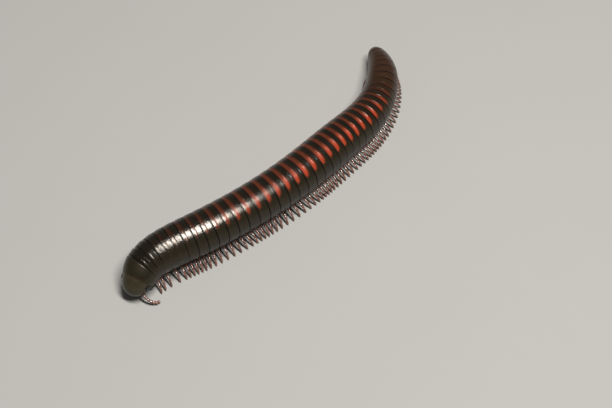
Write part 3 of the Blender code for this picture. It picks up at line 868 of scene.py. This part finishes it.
class MillipedeStage(bpy.types.PropertyGroup):
    """Camera, floor and lights."""

    azimuth: number_setting(
        "Azimuth", "Turn of the camera round the model from -Y towards +X", math.radians(40.7),
        subtype="ANGLE",
    )
    elevation: number_setting(
        "Elevation", "Height of the camera above the level", math.radians(56.5), subtype="ANGLE"
    )
    distance: number_setting("Distance", "Distance of the camera from its target", 0.4061, unit="LENGTH")
    target: bpy.props.FloatVectorProperty(
        name="Target", description="Point in the middle of the picture", size=3, unit="LENGTH",
        default=(11.40 * MM, -2.653 * MM, 7.0 * MM),
    )
    field: number_setting(
        "Field of view", "Width of the view as an angle", math.radians(20.0), subtype="ANGLE"
    )
    floor: colour_setting("Floor", "Colour of the floor", "#888784")
    key_power: number_setting("Key light", "Power of the main light", 7.8, unit="POWER")
    sky: number_setting("Room light", "Strength of the even light of the room", 0.20, min=0.0)


# Operators


class MILLIPEDE_OT_rings(bpy.types.Operator):
    """Build the rings of the trunk, one plate each, with their bands"""

    bl_idname = "millipede.rings"
    bl_label = "Rings"

    seed = 5

    def execute(self, context):
        form = context.scene.millipede_form
        material = cuticle_ring(context.scene.millipede_colours, form)
        skin = suture_skin_painted_shade()
        unit = link("unit_ring", unit_ring(form.ring_sides, form.stria_depth))
        tree = ring_tree()
        for first, last in TRUNK_SPANS:
            name = f"rings_{first:02d}_{last:02d}"
            piece = dress(name, self.axis_points(first, last), tree, {
                "Ring": unit, "Girth": 1.0, "Material": material,
            })
            finish_piece(piece, material, "body_rings", f"trunk_{name}")
            piece.data.materials.append(skin)
            self.mark_sutures(piece.data)
        bpy.data.objects.remove(unit)
        return {"FINISHED"}

    def mark_sutures(self, data):
        """Give the front edge of each ring its second material, the soft skin painted near black as shade."""
        along = np.empty(len(data.vertices), dtype=np.float32)
        data.attributes["along"].data.foreach_get("value", along)
        corners = np.empty(len(data.loops), dtype=np.int32)
        data.loops.foreach_get("vertex_index", corners)
        middle = along[corners].reshape(len(data.polygons), -1).mean(axis=1)
        soft = (middle > SUTURE[0]) & (middle < SUTURE[1])
        data.polygons.foreach_set("material_index", soft.astype(np.int32))

    def axis_points(self, first, last):
        """One point at the front of each ring, with the ring's place, size and pigment."""
        rings = range(first, last + 1)
        fronts = [axis_point(RING_START[ring]) for ring in rings]
        data = bpy.data.meshes.new("axis_points")
        data.from_pydata(fronts, [], [])
        turns, ways, radii, lengths, tapers = [], [], [], [], []
        draw = np.random.default_rng(self.seed)
        less = draw.uniform(0.0, BAND_VARIETY[0], RING_COUNT + 1)
        lower = draw.uniform(-0.5, 0.5, RING_COUNT + 1) * BAND_VARIETY[1]
        for ring, front in zip(rings, fronts):
            start, end = RING_START[ring], RING_START[ring + 1]
            run = axis_point(end) - front
            left, up, tail = frame_along(run)
            turns.append(Matrix((left, tail, up)).transposed().to_euler())
            ways.append(tail)
            radius = float(body_radius((start + end) / 2))
            radii.append(radius)
            lengths.append(run.length)
            tapers.append(float(body_radius(end) - body_radius(start)) / radius)
        for key, arrows in (("turn", turns), ("way", ways), ("front", fronts)):
            store(data, key, "FLOAT_VECTOR", arrows)
        for key, numbers in (
            ("radius", radii), ("length", lengths), ("taper", tapers),
            ("band", [smooth_value(BAND_STRENGTH, ring) * (1.0 - less[ring]) for ring in rings]),
            ("reach", [(smooth_value(BAND_REACH, ring) + lower[ring]) / 180.0 for ring in rings]),
            ("rust", [smooth_value(TAIL_RUST, ring) for ring in rings]),
        ):
            store(data, key, "FLOAT", numbers)
        return data


class MILLIPEDE_OT_legs(bpy.types.Operator):
    """Build the legs, each of seven articles, in waves along the body"""

    bl_idname = "millipede.legs"
    bl_label = "Legs"

    overlap = 1.08
    hairs = 4

    def execute(self, context):
        form = context.scene.millipede_form
        material = cuticle_limb(context.scene.millipede_colours)
        article = link("leg_article", unit_article("leg_article", LEG_ARTICLE, 10, hairs=self.hairs))
        claw = link("leg_claw", unit_article("leg_claw", CLAW_ARTICLE, 8))
        tree = article_tree()
        for first, last in TRUNK_SPANS:
            piece = dress(f"legs_{first:02d}_{last:02d}", self.skeleton(first, last), tree, {
                "Article": article, "Tip": claw, "Thickness": form.leg_radius, "Overlap": self.overlap,
                "Material": material,
            })
            finish_piece(piece, material, "body_rings", f"trunk_rings_{first:02d}_{last:02d}")
        bpy.data.objects.remove(article)
        bpy.data.objects.remove(claw)
        return {"FINISHED"}

    def skeleton(self, first, last):
        """Edges from joint to joint of every leg on a length of trunk."""
        points, edges, thick, tips = [], [], [], []
        for ring, place in leg_places():
            if not first <= ring <= last:
                continue
            for side in (1, -1):
                joints = leg_joints(place, side)
                for number, (point, size) in enumerate(joints):
                    points.append(point)
                    if number:
                        edges.append((len(points) - 2, len(points) - 1))
                        thick.append(joints[number - 1][1])
                        tips.append(1.0 if number == len(joints) - 1 else 0.0)
        return limb_skeleton(points, edges, thick, tips)


class MILLIPEDE_OT_collum(bpy.types.Operator):
    """Build the collum, the collar plate behind the head, with its raised front rim and its side lobes"""

    bl_idname = "millipede.collum"
    bl_label = "Collum"

    # Place along the plate, share of the radius: rolled front rim, dome, rear edge, inner wall
    profile = (
        (0.04, 0.884), (0.012, 0.887), (0.0, 0.896), (0.006, 0.908), (0.025, 0.917), (0.050, 0.921),
        (0.080, 0.921), (0.105, 0.922), (0.15, 0.930), (0.24, 0.943), (0.36, 0.957), (0.50, 0.970),
        (0.64, 0.981), (0.78, 0.990), (0.88, 0.997), (0.94, 1.004), (0.98, 1.002), (1.0, 0.990),
        (0.99, 0.972), (0.80, 0.950), (0.40, 0.918),
    )
    sides = 192
    overlap = 0.55 * MM
    lobe_reach = 0.35 * MM
    side_fit = 0.045
    belly = 0.42

    # Degrees round the plate between which the side lobes grow and end, and places along it
    lobe_start = (20.0, 75.0)
    lobe_end = (125.0, 100.0)
    aside_end = 0.9
    rim_fade = (0.07, 0.03)
    rim_redness = 0.7

    def execute(self, context):
        colours = context.scene.millipede_colours
        front = RING_START[1] + GAP / 2 - self.overlap
        rear = RING_START[2]
        radius = float(body_radius(RING_START[1]))
        rows = []
        edge = []
        for place, share in self.profile:
            row = []
            marks = []
            for k in range(self.sides):
                angle = 2 * math.pi * k / self.sides
                turn = math.degrees(min(angle, 2 * math.pi - angle))
                lobe = float(smooth_step(turn, *self.lobe_start) * smooth_step(turn, *self.lobe_end))
                start = front - self.lobe_reach * lobe
                centre, left, up, _ = body_frame(start + place * (rear - start))
                centre += left * HEAD_ASIDE * max(1.0 - place / self.aside_end, 0.0)
                level = max(math.cos(angle), -self.belly)
                wide = radius * (share - self.side_fit * (math.sin(angle) * (1.0 - place)) ** 2)
                row.append(centre + wide * (math.sin(angle) * left + level * up))
                marks.append(self.rim_redness * float(smooth_step(place, *self.rim_fade)))
            rows.append(row)
            edge.append(marks)
        piece = link("collum_plate", loft("collum_plate", rows, {"edge": edge}, ring_shaped=True))
        shell = cuticle_plain("collum cuticle, glossy chitin", colours.collum, colours.rim, 0.28, 2.0 * MM)
        finish_piece(piece, shell, "collum_shield", "collum")
        return {"FINISHED"}


def head_frame():
    """Middle of the head's back plane, with the ways left, up and forward."""
    centre, left, up, tail = body_frame(RING_START[1] - GAP / 2)
    return centre + left * HEAD_ASIDE, left, up, -tail


def head_surface(turn, tilt):
    """Point and outward direction on the head, by its turn to the left and its tilt up."""
    centre, left, up, ahead = head_frame()
    way = (math.sin(turn) * math.cos(tilt), math.sin(tilt), math.cos(turn) * math.cos(tilt))
    axes = (left, up, ahead)
    point = centre + sum((axis * r * w for axis, r, w in zip(axes, HEAD_RADII, way)), Vector())
    normal = sum((axis * w / r for axis, r, w in zip(axes, HEAD_RADII, way)), Vector()).normalized()
    return point, normal


def mouth_frame():
    """Top of the slanted mouth plane, the way down along it and the way out of it."""
    centre, _, up, ahead = head_frame()
    along = ahead * math.sin(MOUTH_SLANT) - up * math.cos(MOUTH_SLANT)
    out = -ahead * math.cos(MOUTH_SLANT) - up * math.sin(MOUTH_SLANT)
    return centre - up * MOUTH_TOP, along, out


def ball(name, centre, axes, radii, fineness):
    """Egg form with its radii along three directions."""
    mesh = bmesh.new()
    bmesh.ops.create_icosphere(mesh, subdivisions=fineness, radius=1.0)
    for vert in mesh.verts:
        vert.co = centre + sum((axis * r * w for axis, r, w in zip(axes, radii, vert.co)), Vector())
    data = bpy.data.meshes.new(name)
    mesh.to_mesh(data)
    mesh.free()
    face_outwards(data)
    data.shade_smooth()
    return data


class MILLIPEDE_OT_head(bpy.types.Operator):
    """Build the head capsule with its brow line, feeler pits, cheeks and notched upper lip"""

    bl_idname = "millipede.head"
    bl_label = "Head"

    # Relief of the face in millimetres: a depth or height, a half width or a level, and the fades
    brow_line = (0.05, 0.07, (-0.4, 0.6))
    flat_face = (0.16, 1.5, 0.9, -0.1)
    lip_bow = 0.06
    lip_furrow = (0.06, -1.15, 0.12, (2.3, 1.6))
    lip_swelling = (0.14, (-1.25, -1.75), (2.4, 1.5))
    lip_groove = (0.09, 0.16, (-1.7, -2.4))
    lip_pits = (0.09, 0.075, -1.62, (-1.25, -0.75, -0.25, 0.25, 0.75, 1.25))
    cheek_groove = (0.07, 0.10, 2.55, 0.25, -1.2, (-1.0, -1.4))
    pit_rim_height = 0.08
    pit_rim_width = 0.13
    eye_bed = (0.22, (1.05, 0.70))
    notch_width = 0.42
    notch_depth = 0.42
    tooth_pitch = 0.26
    tooth_height = 0.10
    lip_curve = (0.05, 1.5)
    lip_darkening = (-1.45, -2.6)

    # Where the floor and the rim of a feeler's pit lie, as shares of its radius
    pit_floor_place = 0.72
    pit_rim_place = 1.12

    # How steep the notch's sides are, how far in from them the teeth start, and how red the rims are
    notch_steepness = 1.6
    teeth_start = 0.1
    pit_rim_redness = 0.7
    lip_redness = 0.85

    neck = 2.4 * MM
    neck_fade = 0.6 * MM
    neck_narrowing = 0.03

    def execute(self, context):
        colours = context.scene.millipede_colours
        data = ball("head_capsule", Vector(), Matrix.Identity(3), (1.0, 1.0, 1.0), 7)
        local, edge = self.shape(np.array([vert.co for vert in data.vertices]))
        centre, left, up, ahead = head_frame()
        points = np.array(centre) + local @ np.array((left, up, ahead))
        data.vertices.foreach_set("co", points.astype(np.float32).ravel())
        face_outwards(data)
        data.attributes.new("edge", "FLOAT", "POINT").data.foreach_set("value", edge.astype(np.float32))
        data.shade_smooth()
        piece = link("head_capsule", data)
        material = cuticle_plain("head cuticle, glossy chitin", colours.head, colours.rim, 0.27, 1.6 * MM)
        finish_piece(piece, material, "head_capsule", "head")
        return {"FINISHED"}

    def shape(self, way):
        """Points of the head from directions on a ball, and how much each belongs to a rim."""
        radii = np.array(HEAD_RADII)
        local = way * radii
        local[:, 0] *= 1.0 - CHIN_NARROWING * np.maximum(-way[:, 1], 0.0) ** 2
        normal = way / radii
        normal /= np.linalg.norm(normal, axis=1)[:, None]
        x, y, z = local.T / MM
        aside = np.abs(x)
        # Brow line: a fine groove down the middle of the forehead
        depth, width, fade = self.brow_line
        rise = -depth * hump(x, width) * smooth_step(y, *fade)
        # Flat face between the feelers, and the furrow, swelling, groove and pits above the upper lip
        depth, width, height, level = self.flat_face
        rise -= depth * hump(x, width) * hump(y - level, height)
        bow = y - self.lip_bow * x**2
        depth, level, width, fade = self.lip_furrow
        rise -= depth * hump(bow - level, width) * smooth_step(aside, *fade)
        height, start, fade = self.lip_swelling
        rise += height * smooth_step(bow, *start) * smooth_step(aside, *fade)
        depth, width, fade = self.lip_groove
        rise -= depth * hump(x, width) * smooth_step(bow, *fade)
        depth, width, level, places = self.lip_pits
        for across in places:
            rise -= depth * hump(np.hypot(x - across, bow - level), width)
        # Cheek groove from the feeler's pit down to the mouth's corner
        depth, width, across, lean, level, fade = self.cheek_groove
        rise -= depth * hump(aside - across + lean * (y - level), width) * smooth_step(y, *fade)
        rise *= MM * (z > 0.0)
        # Feeler pits with raised rims, and a shallow bed round each eye
        edge = np.zeros(len(way))
        for side in (1, -1):
            reach = self.reach(local, SOCKET_TURN * side, SOCKET_TILT)
            rise -= SOCKET_DEPTH * smooth_step(reach, SOCKET_RADIUS, SOCKET_RADIUS * self.pit_floor_place)
            rim = hump(reach - SOCKET_RADIUS * self.pit_rim_place, self.pit_rim_width * MM)
            rise += self.pit_rim_height * MM * rim
            edge = np.maximum(edge, self.pit_rim_redness * rim)
            reach = self.reach(local, EYE_TURN * side, EYE_TILT)
            depth, fade = self.eye_bed
            rise -= depth * MM * smooth_step(reach / MM, *fade)
        local = local + normal * rise[:, None]
        # Slanted mouth plane behind, and the upper lip's edge below, with its notch and three teeth
        slant_out = np.array((0.0, -math.sin(MOUTH_SLANT), -math.cos(MOUTH_SLANT)))
        beyond = (local - (0.0, -MOUTH_TOP, 0.0)) @ slant_out
        local = local - np.outer(np.maximum(beyond, 0.0), slant_out)
        across = local[:, 0] / MM
        notch = np.clip(1.0 - np.abs(across) / self.notch_width, 0.0, 1.0)
        teeth = np.maximum(np.cos(across / self.tooth_pitch * 2 * math.pi), 0.0)
        teeth *= notch > self.teeth_start
        lip = self.notch_depth * np.minimum(notch * self.notch_steepness, 1.0) - self.tooth_height * teeth
        height, width = self.lip_curve
        lip = lip * MM - MOUTH_LEVEL + height * MM * (across / width) ** 2
        red = self.lip_redness * smooth_step(local[:, 1] / MM, *self.lip_darkening)
        edge = np.maximum(edge, red)
        local[:, 1] = np.maximum(local[:, 1], lip)
        behind = np.maximum(-local[:, 2], 0.0)
        local[:, :2] *= (1.0 - self.neck_narrowing * smooth_step(behind, 0.0, self.neck_fade))[:, None]
        local[:, 2] = np.maximum(local[:, 2], -self.neck)
        return local, edge

    def reach(self, local, turn, tilt):
        """Distance of each point of the head from the spot at a turn and a tilt."""
        spot = (math.sin(turn) * math.cos(tilt), math.sin(tilt), math.cos(turn) * math.cos(tilt))
        return np.linalg.norm(local - np.array(spot) * HEAD_RADII, axis=1)


class MILLIPEDE_OT_eyes(bpy.types.Operator):
    """Build each eye as a field of simple eyes in rows on a low dome"""

    bl_idname = "millipede.eyes"
    bl_label = "Eyes"

    # Lenses: pitch and depth in lens radii, rows in pitches, then the field's edge and the least size
    flatness = 0.55
    pitch = 2.05
    row_pitch = 0.866
    reach = 6
    sunk = 0.35
    least_inside = 0.12
    least_size = 0.8

    def execute(self, context):
        radius = context.scene.millipede_form.lens_radius
        material = lens_black()
        tree = bead_tree()
        for name, side in (("left", 1), ("right", -1)):
            point, normal = head_surface(EYE_TURN * side, EYE_TILT)
            _, _, up, _ = head_frame()
            across = normal.cross(up).normalized()
            tall = across.cross(normal)
            low = (EYE_SIZE[0] * self.flatness, EYE_SIZE[1], EYE_SIZE[2])
            dome = ball("eye_dome", point, (normal, across, tall), low, 4)
            patch = bpy.data.meshes.new("eye_patch")
            spots, sizes = self.rows(radius, low)
            patch.from_pydata([point + normal * n + across * a + tall * t for n, a, t in spots], [], [])
            store(patch, "size", "FLOAT", sizes)
            lenses = dress(f"lenses_{name}", patch, tree, {"Lens radius": radius, "Material": material})
            data = join(f"eye_field_{name}", [dome, lenses.data.copy()])
            bpy.data.objects.remove(lenses)
            finish_piece(link(f"eye_field_{name}", data), material, "eye_field", f"eye_{name}")
        return {"FINISHED"}

    def rows(self, radius, low):
        """Places of the lenses on the dome, in six-sided packing, and the size of each."""
        pitch = self.pitch * radius
        spots, sizes = [], []
        for i in range(-self.reach, self.reach + 1):
            for j in range(-self.reach, self.reach + 1):
                across = (j + 0.5 * (i % 2)) * pitch
                tall = i * pitch * self.row_pitch
                inside = 1.0 - (across / low[1]) ** 2 - (tall / low[2]) ** 2
                if inside < self.least_inside:
                    continue
                spots.append((low[0] * math.sqrt(inside) - self.sunk * radius, across, tall))
                sizes.append(self.least_size + (1.0 - self.least_size) * inside)
        return spots, sizes


class MILLIPEDE_OT_feelers(bpy.types.Operator):
    """Build the two antennae, each of seven club-shaped articles with sense cones at its end"""

    bl_idname = "millipede.feelers"
    bl_label = "Antennae"

    articles = 7
    overlap = 1.10
    hairs = 22
    hair_length = 0.30
    seed = 4
    cones = 4
    cone_aside = 0.13 * MM
    cone_length = 0.20 * MM
    cone_thickness = 0.18
    cone_turn = 0.4

    # Height of the far end in the antenna's radii, and how far across its spread it bends down
    rest_height = 1.3
    bend_place = 0.9

    # Thickness of the first article, what is gained along the antenna, and the share the last keeps
    first_size = 0.85
    growth = 0.25
    last_share = 0.85

    def execute(self, context):
        material = cuticle_limb(context.scene.millipede_colours)
        article = link("feeler_article", unit_article(
            "feeler_article", FEELER_ARTICLE, 20, self.hairs, self.hair_length, self.seed
        ))
        cone = link("feeler_cone", unit_article("feeler_cone", CLAW_ARTICLE, 10))
        tree = article_tree()
        for name, side in (("left", 1), ("right", -1)):
            piece = dress(f"feeler_{name}", self.skeleton(side), tree, {
                "Article": article, "Tip": cone, "Thickness": ANTENNA_RADIUS, "Overlap": self.overlap,
                "Material": material,
            })
            finish_piece(piece, material, "antenna", f"antenna_{name}")
        bpy.data.objects.remove(article)
        bpy.data.objects.remove(cone)
        return {"FINISHED"}

    def skeleton(self, side):
        """Edges along the feeler's path, then a short one for each sense cone."""
        root, normal = head_surface(SOCKET_TURN * side, SOCKET_TILT)
        _, left, _, tail = body_frame(RING_START[1])
        out = Vector((left.x, left.y, 0.0)).normalized() * side
        back = Vector((tail.x, tail.y, 0.0)).normalized()
        ground = ANTENNA_RADIUS * self.rest_height
        tip = root + out * ANTENNA_SPREAD[side] + back * ANTENNA_BACK[side]
        tip.z = ground
        bend = root + out * ANTENNA_SPREAD[side] * self.bend_place
        bend.z = ground
        knots = (root - normal * (SOCKET_DEPTH - GAP), root + normal * ANTENNA_RISE[side], bend, tip)
        points = [self.on_path(knots, number / self.articles) for number in range(self.articles + 1)]
        edges = [(number, number + 1) for number in range(self.articles)]
        thick = [self.first_size + self.growth * k / self.articles for k in range(self.articles)]
        thick[-1] *= self.last_share
        tips = [0.0] * self.articles
        end = points[-1]
        run = (end - points[-2]).normalized()
        side_way = run.orthogonal().normalized()
        for k in range(self.cones):
            spoke = Matrix.Rotation(2 * math.pi * k / self.cones + self.cone_turn, 3, run) @ side_way
            base = end + spoke * self.cone_aside
            points += [base, base + run * self.cone_length]
            edges.append((len(points) - 2, len(points) - 1))
            thick.append(self.cone_thickness)
            tips.append(1.0)
        return limb_skeleton(points, edges, thick, tips)

    def on_path(self, knots, t):
        """Point on a cubic curve through its end knots."""
        s = 1.0 - t
        return knots[0] * s**3 + knots[1] * 3 * s**2 * t + knots[2] * 3 * s * t**2 + knots[3] * t**3


class MILLIPEDE_OT_mouthparts(bpy.types.Operator):
    """Build the jaw bases behind the cheeks, and the lower lip with its plates and palps"""

    bl_idname = "millipede.mouthparts"
    bl_label = "Mouthparts"

    # How far out of the mouth plane the middle of a jaw base lies, as a share of its radius
    jaw_place = 0.62

    # Fine seam across each jaw base
    seam_level = 0.45 * MM
    seam_lean = 0.25
    seam_depth = 0.09 * MM
    seam_width = 0.08 * MM

    # Plates of the lower lip, then its palps, in millimetres: place across, down and out, radii, fineness
    plates = (
        (0.0, 0.85, 0.5, (0.42, 0.75, 0.48), 4), (0.0, 1.95, 0.5, (0.30, 0.85, 0.46), 4),
        (0.55, 1.50, 0.5, (0.44, 1.40, 0.42), 4), (-0.55, 1.50, 0.5, (0.44, 1.40, 0.42), 4),
        *((across, 2.8, 0.45, (0.11, 0.2, 0.12), 3) for across in (-0.72, -0.44, 0.44, 0.72)),
    )

    def execute(self, context):
        colours = context.scene.millipede_colours
        _, left, _, _ = head_frame()
        top, along, out = mouth_frame()
        jaw = cuticle_plain("jaw cuticle, chitin", colours.head, colours.rim, 0.30, 0.9 * MM)
        for name, side in (("mandible_left", 1), ("mandible_right", -1)):
            middle = top + left * side * MANDIBLE_ASIDE + along * MANDIBLE_DOWN
            middle += out * self.jaw_place * MANDIBLE_RADII[2]
            data = ball(name + "_base", middle, (left, along, out), MANDIBLE_RADII, 6)
            for vert in data.vertices:
                offset = vert.co - middle
                seam = offset.dot(along) + self.seam_level + self.seam_lean * offset.dot(left) * side
                vert.co -= offset.normalized() * self.seam_depth * float(hump(seam, self.seam_width))
            finish_piece(link(name + "_base", data), jaw, "jaw_base", name)
        lip = cuticle_plain("lower lip cuticle, chitin", colours.rim, colours.leg_dark, 0.34, 0.7 * MM)
        plates = []
        for across, down, proud, radii, fineness in self.plates:
            middle = top + left * across * MM + along * down * MM + out * (GAP + proud * MM)
            radii = [radius * MM for radius in radii]
            plates.append(ball("plate", middle, (left, along, out), radii, fineness))
        finish_piece(link("lower_lip", join("lower_lip", plates)), lip, "lower_lip", "gnathochilarium")
        return {"FINISHED"}


class MILLIPEDE_OT_telson(bpy.types.Operator):
    """Build the last ring with its hood, and the two valves under it with their raised rims"""

    bl_idname = "millipede.telson"
    bl_label = "Telson"

    sides = 128
    steps = 40
    edge_width = 0.5 * MM
    valve_place = 0.62
    valve_radii = (1.5 * MM, 1.6 * MM, 1.1 * MM)
    valve_rim = (0.09 * MM, 0.16 * MM, 0.10 * MM)
    cleft = 0.04 * MM

    # The end plane faces this much towards the tail and this much down
    end_slant = (0.86, 0.5)

    # Place along the last ring, share of the body's radius
    hood = ((-0.25, 0.90), (0.0, 0.955), (0.35, 1.0), (0.7, 0.97), (1.0, 0.90))

    def execute(self, context):
        colours = context.scene.millipede_colours
        start = RING_START[RING_COUNT + 1]
        _, left, up, tail = body_frame(start)
        end = axis_point(start + self.valve_place * TELSON_LENGTH)
        slant = (tail * self.end_slant[0] - up * self.end_slant[1]).normalized()
        rows = []
        edge = []
        for place in np.linspace(self.hood[0][0], self.hood[-1][0], self.steps):
            centre, left_here, up_here, _ = body_frame(start + place * TELSON_LENGTH)
            radius = float(body_radius(start + place * TELSON_LENGTH)) * float(smooth_value(self.hood, place))
            row = []
            marks = []
            for k in range(self.sides):
                angle = 2 * math.pi * k / self.sides
                level = max(math.cos(angle), -BELLY_FLAT)
                point = centre + radius * (math.sin(angle) * left_here + level * up_here)
                beyond = (point - end).dot(slant)
                point -= slant * max(beyond, 0.0)
                row.append(point)
                marks.append(float(smooth_step(beyond, -self.edge_width, 0.0)))
            rows.append(row)
            edge.append(marks)
        piece = link("telson_ring", loft("telson_ring", rows, {"edge": edge}))
        shell = cuticle_plain("telson cuticle, glossy chitin", colours.tail, colours.rim, 0.30, 1.2 * MM)
        finish_piece(piece, shell, "tail_ring", "preanal_ring")
        valve = cuticle_plain("valve cuticle, chitin", colours.rim, colours.tail, 0.32, 0.9 * MM)
        face_up = left.cross(slant).normalized()
        if face_up.z < 0:
            face_up = -face_up
        for name, side in (("left", 1), ("right", -1)):
            data = ball("valve", end, (left, face_up, slant), self.valve_radii, 6)
            middle = end + slant * GAP
            for vert in data.vertices:
                offset = vert.co - end
                aside = offset.dot(left) * side
                depth = offset.dot(slant)
                height, place, width = self.valve_rim
                rim = height * float(hump(aside - place, width)) * (depth > 0.0)
                offset += slant * (max(0.0, -depth) + rim)
                offset += left * side * max(0.0, self.cleft - aside)
                vert.co = middle + offset
            piece = link(f"valve_{name}", data)
            finish_piece(piece, valve, "anal_valve", f"anal_valve_{name}")
        return {"FINISHED"}


class MILLIPEDE_OT_stage(bpy.types.Operator):
    """Set the floor, the lights and the camera at the picture's viewing angle"""

    bl_idname = "millipede.stage"
    bl_label = "Stage"

    # Metres, apart from the way to the light and its linear colour
    floor_side = 4.0
    light_way = (0.23, 0.014, 0.955)
    light_distance = 0.60
    light_size = (0.078, 0.30)
    light_colour = (1.0, 0.98, 0.95)

    def execute(self, context):
        stage = context.scene.millipede_stage
        mesh = bmesh.new()
        bmesh.ops.create_grid(mesh, x_segments=1, y_segments=1, size=self.floor_side / 2)
        data = bpy.data.meshes.new("studio_floor")
        mesh.to_mesh(data)
        mesh.free()
        floor = link("studio_floor", data)
        data.materials.append(matt_floor(stage.floor))
        self.camera(context, stage)
        self.key_light(stage)
        context.scene.view_settings.view_transform = "Standard"
        world = bpy.data.worlds.new("room_light")
        world.use_nodes = True
        shade = world.node_tree.nodes["Background"]
        shade.inputs["Color"].default_value = (*hex_colour("#EFEDE8"), 1.0)
        shade.inputs["Strength"].default_value = stage.sky
        context.scene.world = world
        return {"FINISHED"}

    def camera(self, context, stage):
        """Camera that looks at its target from an azimuth and an elevation."""
        data = bpy.data.cameras.new("camera")
        data.sensor_width = 36.0
        data.angle = stage.field
        data.clip_start = 0.01
        camera = link("camera", data)
        level = math.cos(stage.elevation)
        back = Vector((
            math.sin(stage.azimuth) * level, -math.cos(stage.azimuth) * level, math.sin(stage.elevation)
        ))
        camera.location = Vector(stage.target) + back * stage.distance
        camera.rotation_euler = (-back).to_track_quat("-Z", "Y").to_euler()
        context.scene.camera = camera

    def key_light(self, stage):
        """Long narrow soft box over the body, which looks at the camera's target."""
        data = bpy.data.lights.new("key_light", "AREA")
        data.shape = "RECTANGLE"
        data.size, data.size_y = self.light_size
        data.energy = stage.key_power
        data.color = self.light_colour
        light = link("key_light", data)
        way = Vector(self.light_way).normalized()
        light.location = Vector(stage.target) + way * self.light_distance
        light.rotation_euler = (-way).to_track_quat("-Z", "Y").to_euler()


class MILLIPEDE_PT_panel(bpy.types.Panel):
    """Panel that lists the millipede's settings and builders"""

    bl_label = "Millipede"
    bl_idname = "MILLIPEDE_PT_panel"
    bl_space_type = "VIEW_3D"
    bl_region_type = "UI"
    bl_category = "Millipede"

    def draw(self, context):
        layout = self.layout
        for group in (
            context.scene.millipede_form, context.scene.millipede_colours, context.scene.millipede_stage,
        ):
            box = layout.box()
            for key in group.bl_rna.properties.keys():
                if key not in ("rna_type", "name"):
                    box.prop(group, key)
        for builder in BUILDERS:
            layout.operator(builder.bl_idname)


BUILDERS = (
    MILLIPEDE_OT_rings, MILLIPEDE_OT_legs, MILLIPEDE_OT_collum, MILLIPEDE_OT_head, MILLIPEDE_OT_eyes,
    MILLIPEDE_OT_feelers, MILLIPEDE_OT_mouthparts, MILLIPEDE_OT_telson, MILLIPEDE_OT_stage,
)
CLASSES = (MillipedeColours, MillipedeForm, MillipedeStage, *BUILDERS, MILLIPEDE_PT_panel)


def register():
    for kind in CLASSES:
        bpy.utils.register_class(kind)
    bpy.types.Scene.millipede_colours = bpy.props.PointerProperty(type=MillipedeColours)
    bpy.types.Scene.millipede_form = bpy.props.PointerProperty(type=MillipedeForm)
    bpy.types.Scene.millipede_stage = bpy.props.PointerProperty(type=MillipedeStage)


def unregister():
    del bpy.types.Scene.millipede_stage
    del bpy.types.Scene.millipede_form
    del bpy.types.Scene.millipede_colours
    for kind in reversed(CLASSES):
        bpy.utils.unregister_class(kind)


def main():
    register()
    for builder in BUILDERS:
        group, name = builder.bl_idname.split(".")
        getattr(getattr(bpy.ops, group), name)()


if __name__ == "__main__":
    main()
